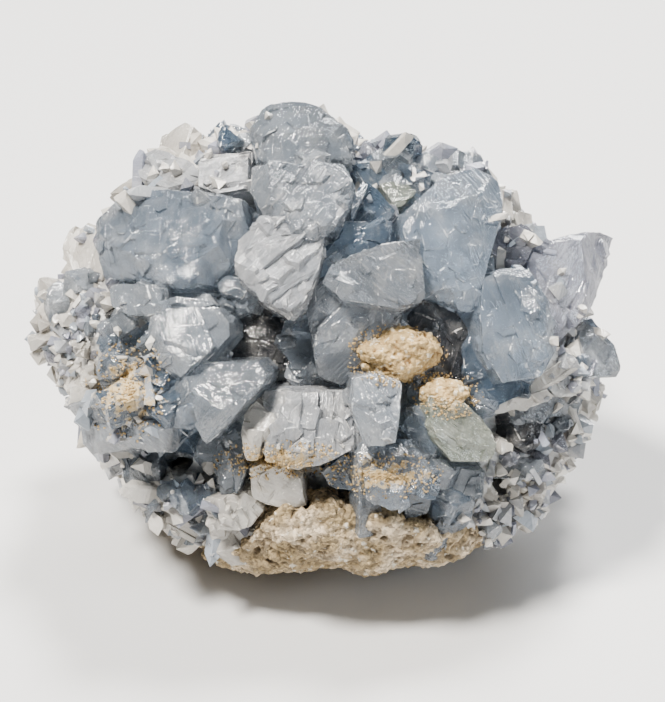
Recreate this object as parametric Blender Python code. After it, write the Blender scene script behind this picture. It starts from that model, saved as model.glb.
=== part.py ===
"""Celestite cluster: pale blue crystals grown together over a lump of sandy matrix.

Lengths are in millimetres until `from_view` or MM turns them into metres. The crystals on the
side that shows best are laid out in a sloping frame that looks down on the cluster: `right` is
world +X, `up` leans back with the view, and `toward` points at the eye. The rims and the back
carry seeded crystals with celestine's own faces.
"""

import math
import random

import bmesh
import bpy
from mathutils import Matrix, Vector, noise

MM = 0.001

# The sloping frame: how far its axis looks down, where its centre is and how far off the eye is.
VIEW_ELEVATION = math.radians(30.0)
VIEW_CENTRE = (1.0, 0.4, 52.0)
VIEW_DISTANCE = 480.0

# The lumpy body under the crystals: its half width at every 15 degrees round the view axis,
# counted from the right, and its half depth towards the eye and away from it.
BODY_RIM = (
    66, 59, 54, 55, 52, 48, 52, 56, 57, 60, 62, 66,
    69, 62, 60, 60, 59, 58.5, 56.5, 58, 63, 64, 64, 65,
)
BODY_FRONT = 46.0
BODY_BACK = 52.0
BODY_ROUNDNESS = 2.6
CRUST_INSET = 1.6

# Relief of the matrix and of the massive celestite: the heights of the broad swells, the knobs
# and the grains, and the size of each as a share of the body's radius.
MATRIX_RELIEF = (4.0, 8.0, 2.5)
CRUST_RELIEF = (4.0, 6.0, 2.5)
SWELL_SIZE = 0.6
KNOB_SIZE = 0.32
KNOB_LEVEL = 0.45
GRAIN_SIZE = 0.11

# The body starts as a ball whose corners are moved sideways a little, so that its faces don't
# line up: how far for a ball divided once, over what size, and where the noise is read for each
# of the three directions.
SIDEWAYS = 0.175
SIDEWAYS_SIZE = 0.11
SIDEWAYS_PLACES = (Vector((9.0, 0.0, 0.0)), Vector((0.0, 9.0, 0.0)), Vector((0.0, 0.0, 9.0)))

# The matrix: its top is low under the crystals, humped at the front and raised at the back.
# The hump and the rise are given by where they start and how far on they are full.
MATRIX_LEVEL = 11.0
MATRIX_FRONT_HUMP = 27.0
MATRIX_HUMP_CENTRE = 8.0
MATRIX_HUMP_HALF_WIDTH = 30.0
MATRIX_HUMP_START = -8.0
MATRIX_HUMP_RUN = 36.0
MATRIX_BACK_RISE = 74.0
MATRIX_BACK_START = 6.0
MATRIX_BACK_RUN = 44.0
MATRIX_TOP_WAVE = 7.0
MATRIX_TOP_WAVE_SIZE = 18.0
MATRIX_TOP_GRID = (21, 19)
MATRIX_TOP_PITCH = 9.0
MATRIX_TOP_DEPTH = 40.0
CRUST_FLOOR_CLEARANCE = 2.0

# Half the side of the cube that every crystal is cut from.
BLANK_HALF_SIZE = 100.0

# Between touching pieces.
GAP = 0.35

# How much a crystal's axis leans outwards with its place, and how far its root reaches inwards.
CRYSTAL_LEAN = 0.5
ROOT_DEPTH = 42.0

# Extra faces that cut a corner of each laid-out crystal: how many, where they start between the
# corner and the middle, and how much more steeply they fall than the first face.
CORNER_FACES = 2
CORNER_FACE_START = (0.25, 0.5)
CORNER_FACE_FALL = (0.5, 1.1)

# Celestine's faces on a crystal drawn out along its b axis: the angle of the side faces from the
# flat ones, and of the two pairs of end faces from the long axis.
SIDE_FACE_ANGLE = math.radians(39.4)
WEDGE_FACE_ANGLE = math.radians(52.1)
SLOPE_FACE_ANGLE = math.radians(38.0)

# Crystals laid out one by one. Each has its outline as (right, up) corners, and its faces as
# (right, up, falls to the right, falls upwards). The first face passes `toward` millimetres in
# front of the view centre at its own point. The others turn away from the first at theirs.
CRYSTALS = {
    "blade_upper_left": (50, [
        (-58, 30.5), (-51, 38), (-41.5, 39), (-22, 37), (-21.5, 30.5),
        (-25, 21.5), (-30, 15), (-42, 15), (-56, 16.5)],
        [(-30, 15, -0.55, 0.55), (-30, 15, -1.0, -0.5), (-30, 29, -0.35, 0.15),
         (-34, 37, -0.4, 1.3)]),
    "cream_left": (22, [
        (-66.5, 29), (-62, 31.3), (-57, 30), (-56, 20.5), (-57, 15.5), (-65.5, 18), (-67, 23.5)],
        [(-60, 24, -0.9, 0.3)]),
    "step_top_left": (14, [
        (-43, 49.5), (-42, 52.5), (-36.5, 55.8), (-32, 53.8), (-30.8, 49), (-34.5, 46), (-42, 46)],
        [(-37, 51, -0.5, 0.8)]),
    "step_left": (16, [
        (-56, 37), (-52.5, 41), (-48, 43), (-42, 43), (-41.5, 39.5), (-51, 38)],
        [(-50, 40, -0.7, 0.7)]),
    "step_mid_left": (24, [
        (-48, 46), (-43, 49), (-34.5, 46), (-30.5, 42), (-34.5, 39), (-47, 39.5)],
        [(-40, 43, -0.3, 0.8)]),
    "blue_patch_top": (16, [
        (-32, 53.5), (-26.5, 56.3), (-20.5, 56), (-19.5, 48.5), (-26.5, 48), (-32, 49.5)],
        [(-26, 52, -0.1, 0.7)]),
    "stepped_white_top": (32, [
        (-33, 48.5), (-26.5, 49), (-19.5, 48.5), (-20, 38.5), (-28, 38), (-33, 40)],
        [(-26, 44, -0.2, 0.6)]),
    "dome_top": (34, [
        (-20, 53), (-16.5, 59), (-11, 60.8), (0.5, 56.5), (5, 54.3),
        (6.8, 49.8), (6, 45.5), (-7, 44.8), (-18, 45.5)],
        [(-7, 50, -0.1, 0.1), (-9, 51.5, -0.2, 1.1), (-2.5, 51, 0.9, 0.5), (-15, 50, -0.9, 0.3)]),
    "striated_top": (51, [
        (-19.5, 44.8), (-11, 46), (4.3, 45.8), (7, 39), (5.5, 34.5),
        (2, 30), (-7, 28.3), (-16.5, 32), (-19.5, 38)],
        [(0, 38, 0.25, 0.55), (4.5, 38, 1.6, -0.1), (-9, 38, -0.8, 0.3), (-3, 31, 0.0, -0.5)]),
    "rough_white_upper": (58, [
        (-22.5, 26), (-16.5, 31.5), (-7, 29), (-0.5, 28), (-2, 21),
        (-4, 16), (-6.3, 11), (-9.5, 8.3), (-16, 11), (-23, 17)],
        [(-9, 20, 0.1, 0.35), (-13, 15, -0.6, -0.5), (-4, 21, 1.1, 0.1), (-8, 13, 0.7, -0.8)]),
    "deep_blue_upper": (43, [
        (6, 37.3), (8.5, 41.5), (13, 39), (17, 33), (15, 30.5), (5.5, 30.5)],
        [(12, 35, 0.6, 0.5), (9, 33, 0.1, 0.0)]),
    "deep_blue_lower": (46, [
        (4.3, 31), (16, 31), (15.8, 25.8), (9.3, 22.5), (2.5, 20), (-1.5, 15.8), (-2.8, 17.5)],
        [(8, 27, 0.2, -0.2), (12, 28, 0.9, 0.2)]),
    "grey_striated": (53, [
        (1.8, 20.5), (9.3, 23.5), (16, 25.8), (23.8, 27), (24.5, 11), (18, 8), (4.3, 10.8),
        (-1.5, 15.3)],
        [(12, 17, 0.2, -0.1), (20, 24.5, 0.1, 1.4), (5, 15, -0.5, -0.2), (21, 13, 0.9, -0.6)]),
    "pale_blue_right": (44, [
        (18, 32), (28, 41), (36.8, 44.5), (43, 40.5), (43.8, 38), (42.5, 31.5), (41.8, 24.8),
        (40, 18), (37.5, 11), (35, 7.8), (30.5, 9.3), (24, 13.5), (20, 24)],
        [(34, 26, 0.15, 0.15), (34, 34, -0.1, 0.9), (40, 26, 1.0, 0.0), (29, 17, -0.7, -0.7),
         (26, 27, -0.5, 0.2)]),
    "brown_back": (8, [
        (6.8, 49.5), (15.5, 50.5), (24, 49.3), (25, 46), (18, 43.5), (8, 44.5)],
        [(16, 47, 0, 1.0)]),
    "grey_back": (12, [
        (17.5, 42), (24.3, 48.5), (29.3, 49.5), (39.3, 48.8), (44.3, 40), (28, 37), (18, 38.5)],
        [(31, 45, 0.1, 0.9)]),
    "yellow_green_back": (33, [
        (12.5, 40.5), (16.8, 42), (23, 39), (19.3, 35), (17, 34.5)],
        [(17, 38, 0.1, 0.5)]),
    "pink_small_upper": (18, [
        (43, 39.5), (48.8, 39.5), (50, 34.5), (48.5, 30.5), (43, 30)],
        [(46, 35, 0.6, 0.5)]),
    "pink_small_lower": (18, [
        (48.5, 34), (52, 33.3), (53, 28), (50.5, 27), (46.8, 30)],
        [(50, 31, 0.9, 0.4)]),
    "pale_lilac": (30, [
        (42.8, 29.5), (50.5, 30.5), (53.8, 27), (48.5, 18.8), (45.8, 21.5), (42.8, 24)],
        [(48, 26, 0.25, 0.35)]),
    "right_point": (30, [
        (52.5, 25.5), (59.5, 26.3), (69, 28.3), (71.3, 26.5), (69.3, 20.5), (66.5, 10.5),
        (64, 6.5), (58, -0.5), (54.3, 8), (49.3, 19)],
        [(58, 15, 0.25, 0.1), (63, 18, 1.6, 0.2), (60, 24.5, 0.2, 1.5)]),
    "right_joint": (35, [
        (54.3, -0.3), (59.3, -2), (65.5, -8.5), (64.3, -12.8), (58, -13.5), (54.3, -10.5),
        (51.8, -9)],
        [(58, -7, 0.4, 0.0)]),
    "grey_between": (43, [
        (-28, 14.8), (-26, 17.5), (-22.5, 17), (-20.5, 13.5), (-22.5, 10.5), (-26.5, 10.5)],
        [(-24, 14, -0.2, 0.2)]),
    "white_crust_low": (27, [
        (-30, -46), (-19, -46.5), (-14, -49), (-17, -54), (-24, -55.5), (-30, -52)],
        [(-23, -50, -0.1, -0.7)]),
    "right_lower": (24, [
        (64, 6), (71.3, 0.8), (73.5, -6), (73, -8.3), (65.5, -8.8), (59, -2), (61, 3.5)],
        [(66, -1, 0.5, 0.0), (67, -0.5, 0.5, 1.0), (63, -3, -0.3, -0.4)]),
    "tall_right": (47, [
        (38.8, 16.5), (43, 19), (50.5, 19), (54.3, 11.5), (56.3, 3.5), (57.5, -0.8), (52, -9),
        (44.3, -10.5), (40, -2), (38, 7)],
        [(47, 6, 0.1, 0.2), (52.5, 5, 1.1, 0.1), (48, 14, 0.2, 1.0), (41, 4, -0.7, 0.1),
         (48, -6, 0.2, -0.7)]),
    "blue_under_tall": (41, [
        (34, -0.3), (36.5, 6.5), (39.5, 5.5), (51.5, -7), (50.5, -12.8), (41.8, -16.3),
        (34.5, -15.5)],
        [(43, -8, 0.1, 0.05)]),
    "dark_rough": (41, [
        (23, 11.8), (33, 8.5), (36, 3.5), (33.5, -9.5), (27, -7), (20, 2.3)],
        [(28, 2, 0.1, 0.1)]),
    "striated_centre": (48, [
        (-6.3, 11), (-1.5, 15.3), (4.3, 11.5), (16, 9), (17.5, 4.8), (16, 1), (10, -3),
        (6, -7), (3, -10.5), (-2.5, -8.5)],
        [(5, 4, 0.25, -0.15), (-1, 6, -1.1, 0.1), (8, 0, 0.3, -0.7)]),
    "grey_centre": (43, [
        (-10.8, 6), (-1.5, 3.5), (1.8, -7.8), (-7, -9), (-12.5, -0.3)],
        [(-5, -2, -0.2, 0.1)]),
    "dark_centre": (39, [
        (-25, 3.5), (-20.8, 11), (-9.5, 9), (-7, 2.3), (-6.5, -7), (-16.5, -7), (-24.5, -3.5)],
        [(-16, 1, -0.1, 0.15)]),
    "pale_lower_centre": (53, [
        (6, -8), (11.8, -7.3), (18.8, -9), (18.3, -17), (17.5, -23.5), (14.3, -25.5),
        (9.3, -25.3), (6.5, -19), (5.5, -14)],
        [(13, -12, 0.1, 0.45), (12, -17, -0.5, -0.4), (16, -15, 0.9, 0.0)]),
    "grey_rough_low": (48, [
        (-15.8, -12), (-10.8, -11.3), (5.5, -12), (8, -19), (8.5, -25), (0.5, -29.5),
        (-7, -31.5), (-15.5, -29.5), (-16.5, -19)],
        [(-3, -18, 0.05, 0.2), (-3, -13.5, 0, 1.0), (-3, -24, 0.15, -0.7), (-12, -20, -0.6, 0.1),
         (5, -20, 0.7, 0.1)]),
    "white_pink": (49, [
        (-22, -24), (-21.5, -17), (-18.5, -14.5), (-15, -17), (-16, -24), (-17.5, -29.5),
        (-20.5, -29.5)],
        [(-18.5, -20, -0.3, 0.3), (-18.5, -22, 0.3, -0.5)]),
    "grey_blue_low": (43, [
        (-32, -26.5), (-24, -21.5), (-22, -25.5), (-20.5, -31.5), (-23, -38.5),
        (-28.5, -39.5), (-31.3, -34.5)],
        [(-27, -30, 0.0, 0.2), (-27, -33, -0.2, -0.7), (-24, -29, 0.8, 0.0)]),
    "dark_blue_low": (41, [
        (2.5, -28.5), (8.5, -27), (11, -31.5), (8, -36.5), (0.5, -36), (-2, -32)],
        [(5, -32, 0, -0.3)]),
    "cream_chip": (43, [
        (9, -26), (14.3, -25.5), (18, -31.5), (18.5, -36.5), (14, -39), (10, -35.5)],
        [(14, -32, 0.2, -0.3)]),
    "white_low_left": (41, [
        (-20.5, -31.5), (-16.5, -30), (-7, -33.5), (-5.5, -40.3), (-12, -42), (-19.5, -39)],
        [(-14, -36, -0.1, -0.5)]),
    "yellow_green_low": (48, [
        (25.5, -12.8), (30.5, -12.5), (34.5, -15), (40.5, -20.3), (43.3, -25.5), (40.5, -29.5),
        (31, -29.5), (27, -24.5), (25, -17.8)],
        [(34, -21, 0.3, 0.05), (33, -17, 0.2, 0.8), (36, -26, 0.3, -0.8), (29, -20, -0.5, 0.0)]),
    "blue_low": (43, [
        (18.5, -21.5), (20, -17), (23, -16), (26, -17), (26.5, -24), (25.5, -27), (21.5, -25.5)],
        [(22, -21, 0.1, 0.1)]),
    "blue_lowest": (45, [
        (17.3, -24), (21, -24), (26.5, -29), (28.5, -33.5), (27.3, -39.5), (22.5, -39), (18, -34)],
        [(22, -31, 0.4, 0.2), (20, -33, -0.4, -0.4)]),
    "striated_low": (40, [
        (17.5, -36), (22.5, -38), (27, -40), (26, -44), (19.3, -44.5)],
        [(22, -41, 0.1, -0.5)]),
    "dark_sparkly": (34, [
        (43, -18.5), (49.3, -15.8), (55, -21), (50.5, -28.3), (45.5, -25.5)],
        [(49, -22, 0.2, 0.1), (50.5, -24, 0.8, -1.2)]),
    "light_band": (38, [
        (40.5, -17), (48, -12.8), (54.5, -11), (57, -13.5), (49.5, -16.5), (43, -18.5)],
        [(49, -14.5, 0.4, -0.4)]),
    "grey_right": (31, [
        (54.3, -10.3), (61.8, -15.3), (60.5, -18.5), (50.5, -18.5), (49.3, -16)],
        [(56, -15, 0.5, -0.1)]),
    "white_spot": (38, [
        (43, -26), (44.5, -24), (46.8, -25), (47, -27.5), (44.3, -28.5)],
        [(45, -26, 0.1, 0)]),
    "rim_right_upper": (20, [
        (57, -12.8), (65, -8.8), (70.5, -10.3), (68, -15.3), (64, -20.3), (58, -19)],
        [(63, -14, 0.8, -0.2)]),
    "rim_right_mid": (20, [
        (54.3, -21.5), (63, -21), (63.8, -23.3), (61.8, -26.5), (58.5, -31.5), (53, -29.5)],
        [(58, -25, 0.8, -0.3)]),
    "rim_right_low": (25, [
        (48, -29.5), (55, -28.5), (58.5, -34), (54.3, -39), (48, -38.5), (45.5, -34)],
        [(52, -33, 0.6, -0.4)]),
    "dark_wedge": (23, [
        (39.3, -40.3), (43, -39), (53.5, -39.8), (52, -42), (44.3, -46.5), (40.5, -44)],
        [(46, -42, 0.3, -0.6)]),
    "grey_low_right": (39, [
        (28, -31), (39.5, -31.5), (40, -39), (35.5, -41.5), (28, -39)],
        [(34, -35, 0.2, -0.3)]),
    "chip_low_right": (31, [
        (27.5, -40), (35.5, -42), (38, -47.8), (31.8, -50), (25.5, -46.5)],
        [(32, -45, 0.3, -0.8)]),
    "left_centre": (51, [
        (-44.5, 6.5), (-40.8, 9), (-28.5, 9.8), (-25.5, 6), (-24.8, 2), (-30.8, -3.5),
        (-36.5, -9), (-42.5, -4.5), (-45, 1)],
        [(-33, 3, 0.0, 0.4), (-37, 0, -0.6, -0.4), (-41, 3, -1.2, 0.1), (-29, 3, 0.8, -0.2)]),
    "blade_left_low": (53, [
        (-36.8, -9), (-32, -4.5), (-17.5, -4.5), (-15.3, -7), (-16.5, -10.5), (-21, -15.5),
        (-25, -20), (-30.5, -25.3), (-33, -21), (-36, -14.5)],
        [(-25, -10, -0.05, 0.5), (-25, -13, 0.1, -0.4), (-31, -17, -0.7, -0.2)]),
    "small_left": (38, [
        (-56, 15.5), (-49.5, 15.3), (-40.8, 14.5), (-42, 8), (-49.5, 6.5), (-55, 9.5)],
        [(-49, 11, -0.5, 0.2)]),
    "small_left_inner": (44, [
        (-42, 13.5), (-30.8, 13), (-28.5, 10), (-34.5, 8), (-40.8, 8.5)],
        [(-36, 11, -0.2, 0.2)]),
    "massive_left": (42, [
        (-54.5, -7), (-44.5, -1.5), (-37, -9), (-32, -22), (-42, -23), (-52.5, -21.5)],
        [(-43, -11, -0.4, 0.2), (-43, -15, -0.3, -0.5), (-48, -10, -0.9, 0.1)]),
    "rim_left": (22, [
        (-73, 11), (-69.5, 16), (-60.8, 16), (-57, 8), (-59.5, -1.5), (-69.5, -4.5), (-73.5, 1)],
        [(-64, 5, -0.7, 0.1)]),
    "rim_left_low": (22, [
        (-69.5, -4.5), (-59, -2), (-53, -7.8), (-54, -19), (-61, -19), (-65.5, -11.5)],
        [(-60, -10, -0.6, -0.1)]),
    "rim_left_lowest": (16, [
        (-61, -19.5), (-54, -17.8), (-51.5, -24), (-52.5, -31.5), (-57, -31), (-60, -25.3)],
        [(-56, -25, -0.7, -0.3)]),
    "round_grey_left": (31, [
        (-52, -24), (-45.8, -21), (-42.5, -24), (-42.5, -34), (-44.5, -39), (-50.8, -36.5),
        (-52.5, -30)],
        [(-47, -28, -0.4, 0.1), (-47, -32, -0.4, -0.6), (-45, -29, 0.4, -0.1)]),
    "cream_points_left": (28, [
        (-45, -38.5), (-40.8, -33), (-34.5, -32.8), (-32, -39), (-37, -42), (-43, -41.5)],
        [(-39, -38, -0.3, -0.4)]),
    "white_bottom_left": (22, [
        (-44.8, -42), (-32, -40.3), (-28.3, -46.5), (-30.8, -51.3), (-40.8, -46.5)],
        [(-36, -45, -0.3, -0.7), (-38, -43.5, -0.4, 0.1)]),
    "white_low": (36, [
        (-32, -39), (-22, -37.8), (-16.5, -42), (-19.5, -46.5), (-28.3, -46.5)],
        [(-24, -42, -0.2, -0.6)]),
}

# Dark pockets among the crystals, as (right, up, half width, half height, bottom).
POCKETS = (
    (-37.5, -28.5, 5.5, 5.5, 14),
    (43, -35, 3.5, 4.5, 10),
    (-29, 15.5, 3.5, 3.5, 30),
    (-27.5, -1.5, 3.5, 3.5, 30),
    (-12, -10, 5.0, 2.0, 32),
    (44, 20.5, 4.0, 2.5, 26),
)

# Seeded crystals, one group to a line: how many, their lengths, the share of the length that
# stands proud of the body, where they grow (1 is straight towards the eye, -1 away from it),
# how far they may reach past the body's outline as the eye sees it, and how far apart they are.
SEED = 11
SEED_TRIES = 6000
SEEDED = (
    (24, (10.0, 16.0), (0.1, 0.3), (0.3, 0.75), 4.5, 9.0),
    (56, (10.0, 18.0), (0.22, 0.42), (-0.2, 0.35), 3.5, 8.5),
    (36, (24.0, 40.0), (0.35, 0.6), (-0.9, -0.15), 3.5, 11.0),
)
CRYSTAL_WIDTHS = (0.4, 0.62)
CRYSTAL_THICKNESSES = (0.3, 0.5)
CRYSTAL_TILT = 0.5
CRYSTAL_FOOT = 4.0
SMALLEST_WITH_SLOPES = 18.0
BOUNDARY_CLEARANCE = 3.0
POCKET_CLEARANCE = 2.0

# The pockets' cutters: how far out they start, and their widths there and at the bottom.
POCKET_START = 62.0
POCKET_TOP_SHARE = 1.3
POCKET_BOTTOM_SHARE = 0.55

# Sandy lumps in the pocket: (right, up, toward) of the centre, the three half sizes, and how
# often the faces of the ball they are shaped from are divided.
SANDY_LUMPS = {
    "sandy_lump_upper": ((17.5, -2.5, 42.0), (10.5, 5.5, 7.0), 3),
    "sandy_lump_lower": ((29.0, -12.5, 42.0), (5.5, 3.6, 5.0), 2),
}
LUMP_RELIEF = (0.3, 0.25, 0.12)

VIEW_RIGHT = Vector((1.0, 0.0, 0.0))
VIEW_UP = Vector((0.0, math.sin(VIEW_ELEVATION), math.cos(VIEW_ELEVATION)))
VIEW_TOWARD = Vector((0.0, -math.cos(VIEW_ELEVATION), math.sin(VIEW_ELEVATION)))


def from_view(right, up, toward):
    """World point, in metres, of a place in the sloping frame."""
    return (Vector(VIEW_CENTRE) + VIEW_RIGHT * right + VIEW_UP * up + VIEW_TOWARD * toward) * MM


def view_direction(right, up, toward):
    """World direction of a direction in the sloping frame."""
    return (VIEW_RIGHT * right + VIEW_UP * up + VIEW_TOWARD * toward).normalized()


def clear_scene():
    for item in list(bpy.data.objects):
        bpy.data.objects.remove(item, do_unlink=True)


def new_object(name, mesh_source):
    """Make an object of a bmesh, which is freed."""
    mesh = bpy.data.meshes.new(name)
    mesh_source.to_mesh(mesh)
    mesh_source.free()
    item = bpy.data.objects.new(name, mesh)
    bpy.context.scene.collection.objects.link(item)
    return item


def make_material(name, colour, roughness):
    material = bpy.data.materials.new(name)
    material.use_nodes = True
    shader = material.node_tree.nodes["Principled BSDF"]
    shader.inputs["Base Color"].default_value = (*colour, 1.0)
    shader.inputs["Roughness"].default_value = roughness
    shader.inputs["Metallic"].default_value = 0.0
    material.diffuse_color = (*colour, 1.0)
    return material


def cut_away(solid, point, normal):
    """Cut off what lies on the side that the normal points to, and close the cut."""
    parts = solid.verts[:] + solid.edges[:] + solid.faces[:]
    result = bmesh.ops.bisect_plane(
        solid, geom=parts, dist=1e-7, plane_co=point, plane_no=normal, clear_outer=True)
    rim = [part for part in result["geom_cut"] if isinstance(part, bmesh.types.BMEdge)]
    if len(rim) >= 3:
        bmesh.ops.contextual_create(solid, geom=rim)


def blank(centre):
    """A big cube that a crystal is cut from."""
    solid = bmesh.new()
    bmesh.ops.create_cube(
        solid, size=2.0 * BLANK_HALF_SIZE * MM, matrix=Matrix.Translation(centre))
    return solid


def face_planes(toward, faces):
    """Each face as a world point and an outward normal."""
    first_right, first_up, fall_right, fall_up = faces[0]
    planes = []
    for right, up, falls_right, falls_up in faces:
        on_first = toward - fall_right * (right - first_right) - fall_up * (up - first_up)
        shrink = 1.0 - on_first / VIEW_DISTANCE
        point = from_view(right * shrink, up * shrink, on_first)
        planes.append((point, view_direction(falls_right, falls_up, 1.0)))
    return planes


def corner_on_faces(right, up, planes):
    """Where the sight line through an outline corner meets the crystal's faces."""
    eye = from_view(0.0, 0.0, VIEW_DISTANCE)
    ray = from_view(right, up, 0.0) - eye
    reach = max((point - eye).dot(normal) / ray.dot(normal) for point, normal in planes)
    return eye + ray * reach


def outline_middle(outline):
    right = sum(corner[0] for corner in outline) / len(outline)
    up = sum(corner[1] for corner in outline) / len(outline)
    return right, up


def corner_faces(outline, first_face, source):
    """Steeper faces that cut off some corners of an outline, chosen at random."""
    middle_right, middle_up = outline_middle(outline)
    extra = []
    for right, up in source.sample(outline, CORNER_FACES):
        out_right, out_up = right - middle_right, up - middle_up
        reach = math.hypot(out_right, out_up)
        start = 1.0 - source.uniform(*CORNER_FACE_START)
        fall = source.uniform(*CORNER_FACE_FALL)
        extra.append((
            middle_right + out_right * start, middle_up + out_up * start,
            first_face[2] + fall * out_right / reach, first_face[3] + fall * out_up / reach))
    return extra


def placed_crystal(toward, outline, faces, source):
    """A prism with the given outline, seen from the eye, ended by the given faces."""
    planes = face_planes(toward, faces + corner_faces(outline, faces[0], source))
    corners = [corner_on_faces(right, up, planes) for right, up in outline]
    middle = sum(corners, Vector()) / len(corners)
    middle_right, middle_up = outline_middle(outline)
    lean = CRYSTAL_LEAN / max(BODY_RIM)
    axis = view_direction(middle_right * lean, middle_up * lean, 1.0)
    solid = blank(middle)
    for point, normal in planes:
        cut_away(solid, point, normal)
    for index, corner in enumerate(corners):
        following = corners[(index + 1) % len(corners)]
        normal = (following - corner).cross(axis).normalized()
        if normal.dot(corner - middle) < 0.0:
            normal.negate()
        outermost = max(corners, key=normal.dot)
        cut_away(solid, outermost, normal)
    cut_away(solid, middle - axis * ROOT_DEPTH * MM, -axis)
    return solid


def rim_half_width(angle):
    """The body's half width at an angle round the view axis, smoothed between the given ones."""
    step = 2.0 * math.pi / len(BODY_RIM)
    place = (angle % (2.0 * math.pi)) / step
    index = int(place)
    blend = place - index
    blend = blend * blend * (3.0 - 2.0 * blend)
    low = BODY_RIM[index % len(BODY_RIM)]
    high = BODY_RIM[(index + 1) % len(BODY_RIM)]
    return low + (high - low) * blend


def body_reach(direction):
    """How far the smooth body reaches from the view centre along a unit view direction."""
    right, up, toward = direction
    across = math.hypot(right, up) / rim_half_width(math.atan2(up, right))
    along = abs(toward) / (BODY_FRONT if toward > 0.0 else BODY_BACK)
    return (across ** BODY_ROUNDNESS + along ** BODY_ROUNDNESS) ** (-1.0 / BODY_ROUNDNESS)


def rock_relief(direction, seed, relief):
    """Height of the rock's relief: broad swells, cobbly knobs with creases, and grains."""
    where = direction + Vector((seed, 0.7 * seed, 0.3 * seed))
    swell_height, knob_height, grain_height = relief
    nearest = noise.voronoi(where / KNOB_SIZE)[0][0]
    return (swell_height * noise.noise(where / SWELL_SIZE)
            + knob_height * (KNOB_LEVEL - nearest)
            + grain_height * noise.noise(where / GRAIN_SIZE))


def body_solid(subdivisions, grow, seed, relief):
    """The lumpy body as a closed mesh, every vertex moved outwards by `grow`."""
    solid = bmesh.new()
    bmesh.ops.create_icosphere(solid, subdivisions=subdivisions, radius=1.0)
    sideways = SIDEWAYS * 0.5 ** (subdivisions - 1)
    for vertex in solid.verts:
        spread = Vector([
            noise.noise(vertex.co / SIDEWAYS_SIZE + place) for place in SIDEWAYS_PLACES])
        direction = (vertex.co + spread * sideways).normalized()
        reach = body_reach(direction) + grow + rock_relief(direction, seed, relief)
        vertex.co = from_view(*(direction * reach))
    return solid


def smooth_step(value):
    value = min(1.0, max(0.0, value))
    return value * value * (3.0 - 2.0 * value)


def matrix_top(x, y):
    """Height of the boundary between matrix and crystals."""
    across = math.exp(-((x - MATRIX_HUMP_CENTRE) / MATRIX_HUMP_HALF_WIDTH) ** 4)
    hump = across * smooth_step((MATRIX_HUMP_START - y) / MATRIX_HUMP_RUN)
    back = smooth_step((y - MATRIX_BACK_START) / MATRIX_BACK_RUN)
    wave = noise.noise(Vector((x, y, 0.0)) / MATRIX_TOP_WAVE_SIZE + Vector((0.0, 0.0, 4.0)))
    return (MATRIX_LEVEL + MATRIX_FRONT_HUMP * hump + MATRIX_BACK_RISE * back
            + MATRIX_TOP_WAVE * wave)


def below_matrix_top(grow):
    """A block whose upper side is the boundary surface, raised by `grow`."""
    columns, rows = MATRIX_TOP_GRID
    solid = bmesh.new()
    top, bottom = [], []
    for row in range(rows):
        for column in range(columns):
            x = (column - (columns - 1) / 2.0) * MATRIX_TOP_PITCH
            y = (row - (rows - 1) / 2.0) * MATRIX_TOP_PITCH
            top.append(solid.verts.new(Vector((x, y, matrix_top(x, y) + grow)) * MM))
            bottom.append(solid.verts.new(Vector((x, y, -MATRIX_TOP_DEPTH)) * MM))
    for row in range(rows - 1):
        for column in range(columns - 1):
            corner = row * columns + column
            for triangle in ((corner, corner + 1, corner + columns),
                             (corner + 1, corner + columns + 1, corner + columns)):
                solid.faces.new([top[index] for index in triangle])
                solid.faces.new([bottom[index] for index in reversed(triangle)])
    rim = (
        [column for column in range(columns)]
        + [row * columns + columns - 1 for row in range(1, rows)]
        + [(rows - 1) * columns + column for column in range(columns - 2, -1, -1)]
        + [row * columns for row in range(rows - 2, 0, -1)])
    for index, here in enumerate(rim):
        following = rim[(index + 1) % len(rim)]
        solid.faces.new((top[following], top[here], bottom[here], bottom[following]))
    return solid


def boolean(target, others, operation):
    """Apply one exact Boolean of the target with all the others, which are then removed."""
    group = bpy.data.collections.new("operands")
    for other in others:
        group.objects.link(other)
    modifier = target.modifiers.new("boolean", "BOOLEAN")
    modifier.operation = operation
    modifier.solver = "EXACT"
    modifier.operand_type = "COLLECTION"
    modifier.collection = group
    depsgraph = bpy.context.evaluated_depsgraph_get()
    mesh = bpy.data.meshes.new_from_object(target.evaluated_get(depsgraph))
    target.modifiers.clear()
    target.data = mesh
    for other in others:
        bpy.data.objects.remove(other, do_unlink=True)
    bpy.data.collections.remove(group)


def tidy_solid(item, flat_angle=math.radians(0.2)):
    """Keep the biggest closed body, and merge faces that lie in one plane."""
    solid = bmesh.new()
    solid.from_mesh(item.data)
    bmesh.ops.remove_doubles(solid, verts=solid.verts[:], dist=4e-6)
    bmesh.ops.dissolve_degenerate(solid, dist=4e-6, edges=solid.edges[:])
    unseen = set(solid.verts)
    biggest = set()
    while unseen:
        stack = [unseen.pop()]
        island = set(stack)
        while stack:
            for edge in stack.pop().link_edges:
                for vertex in edge.verts:
                    if vertex in unseen:
                        unseen.discard(vertex)
                        island.add(vertex)
                        stack.append(vertex)
        if len(island) > len(biggest):
            biggest = island
    loose = [vertex for vertex in solid.verts if vertex not in biggest]
    bmesh.ops.delete(solid, geom=loose, context="VERTS")
    bmesh.ops.dissolve_limit(
        solid, angle_limit=flat_angle, verts=solid.verts[:], edges=solid.edges[:])
    bmesh.ops.triangulate(solid, faces=solid.faces[:])
    bmesh.ops.recalc_face_normals(solid, faces=solid.faces[:])
    solid.to_mesh(item.data)
    solid.free()


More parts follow.
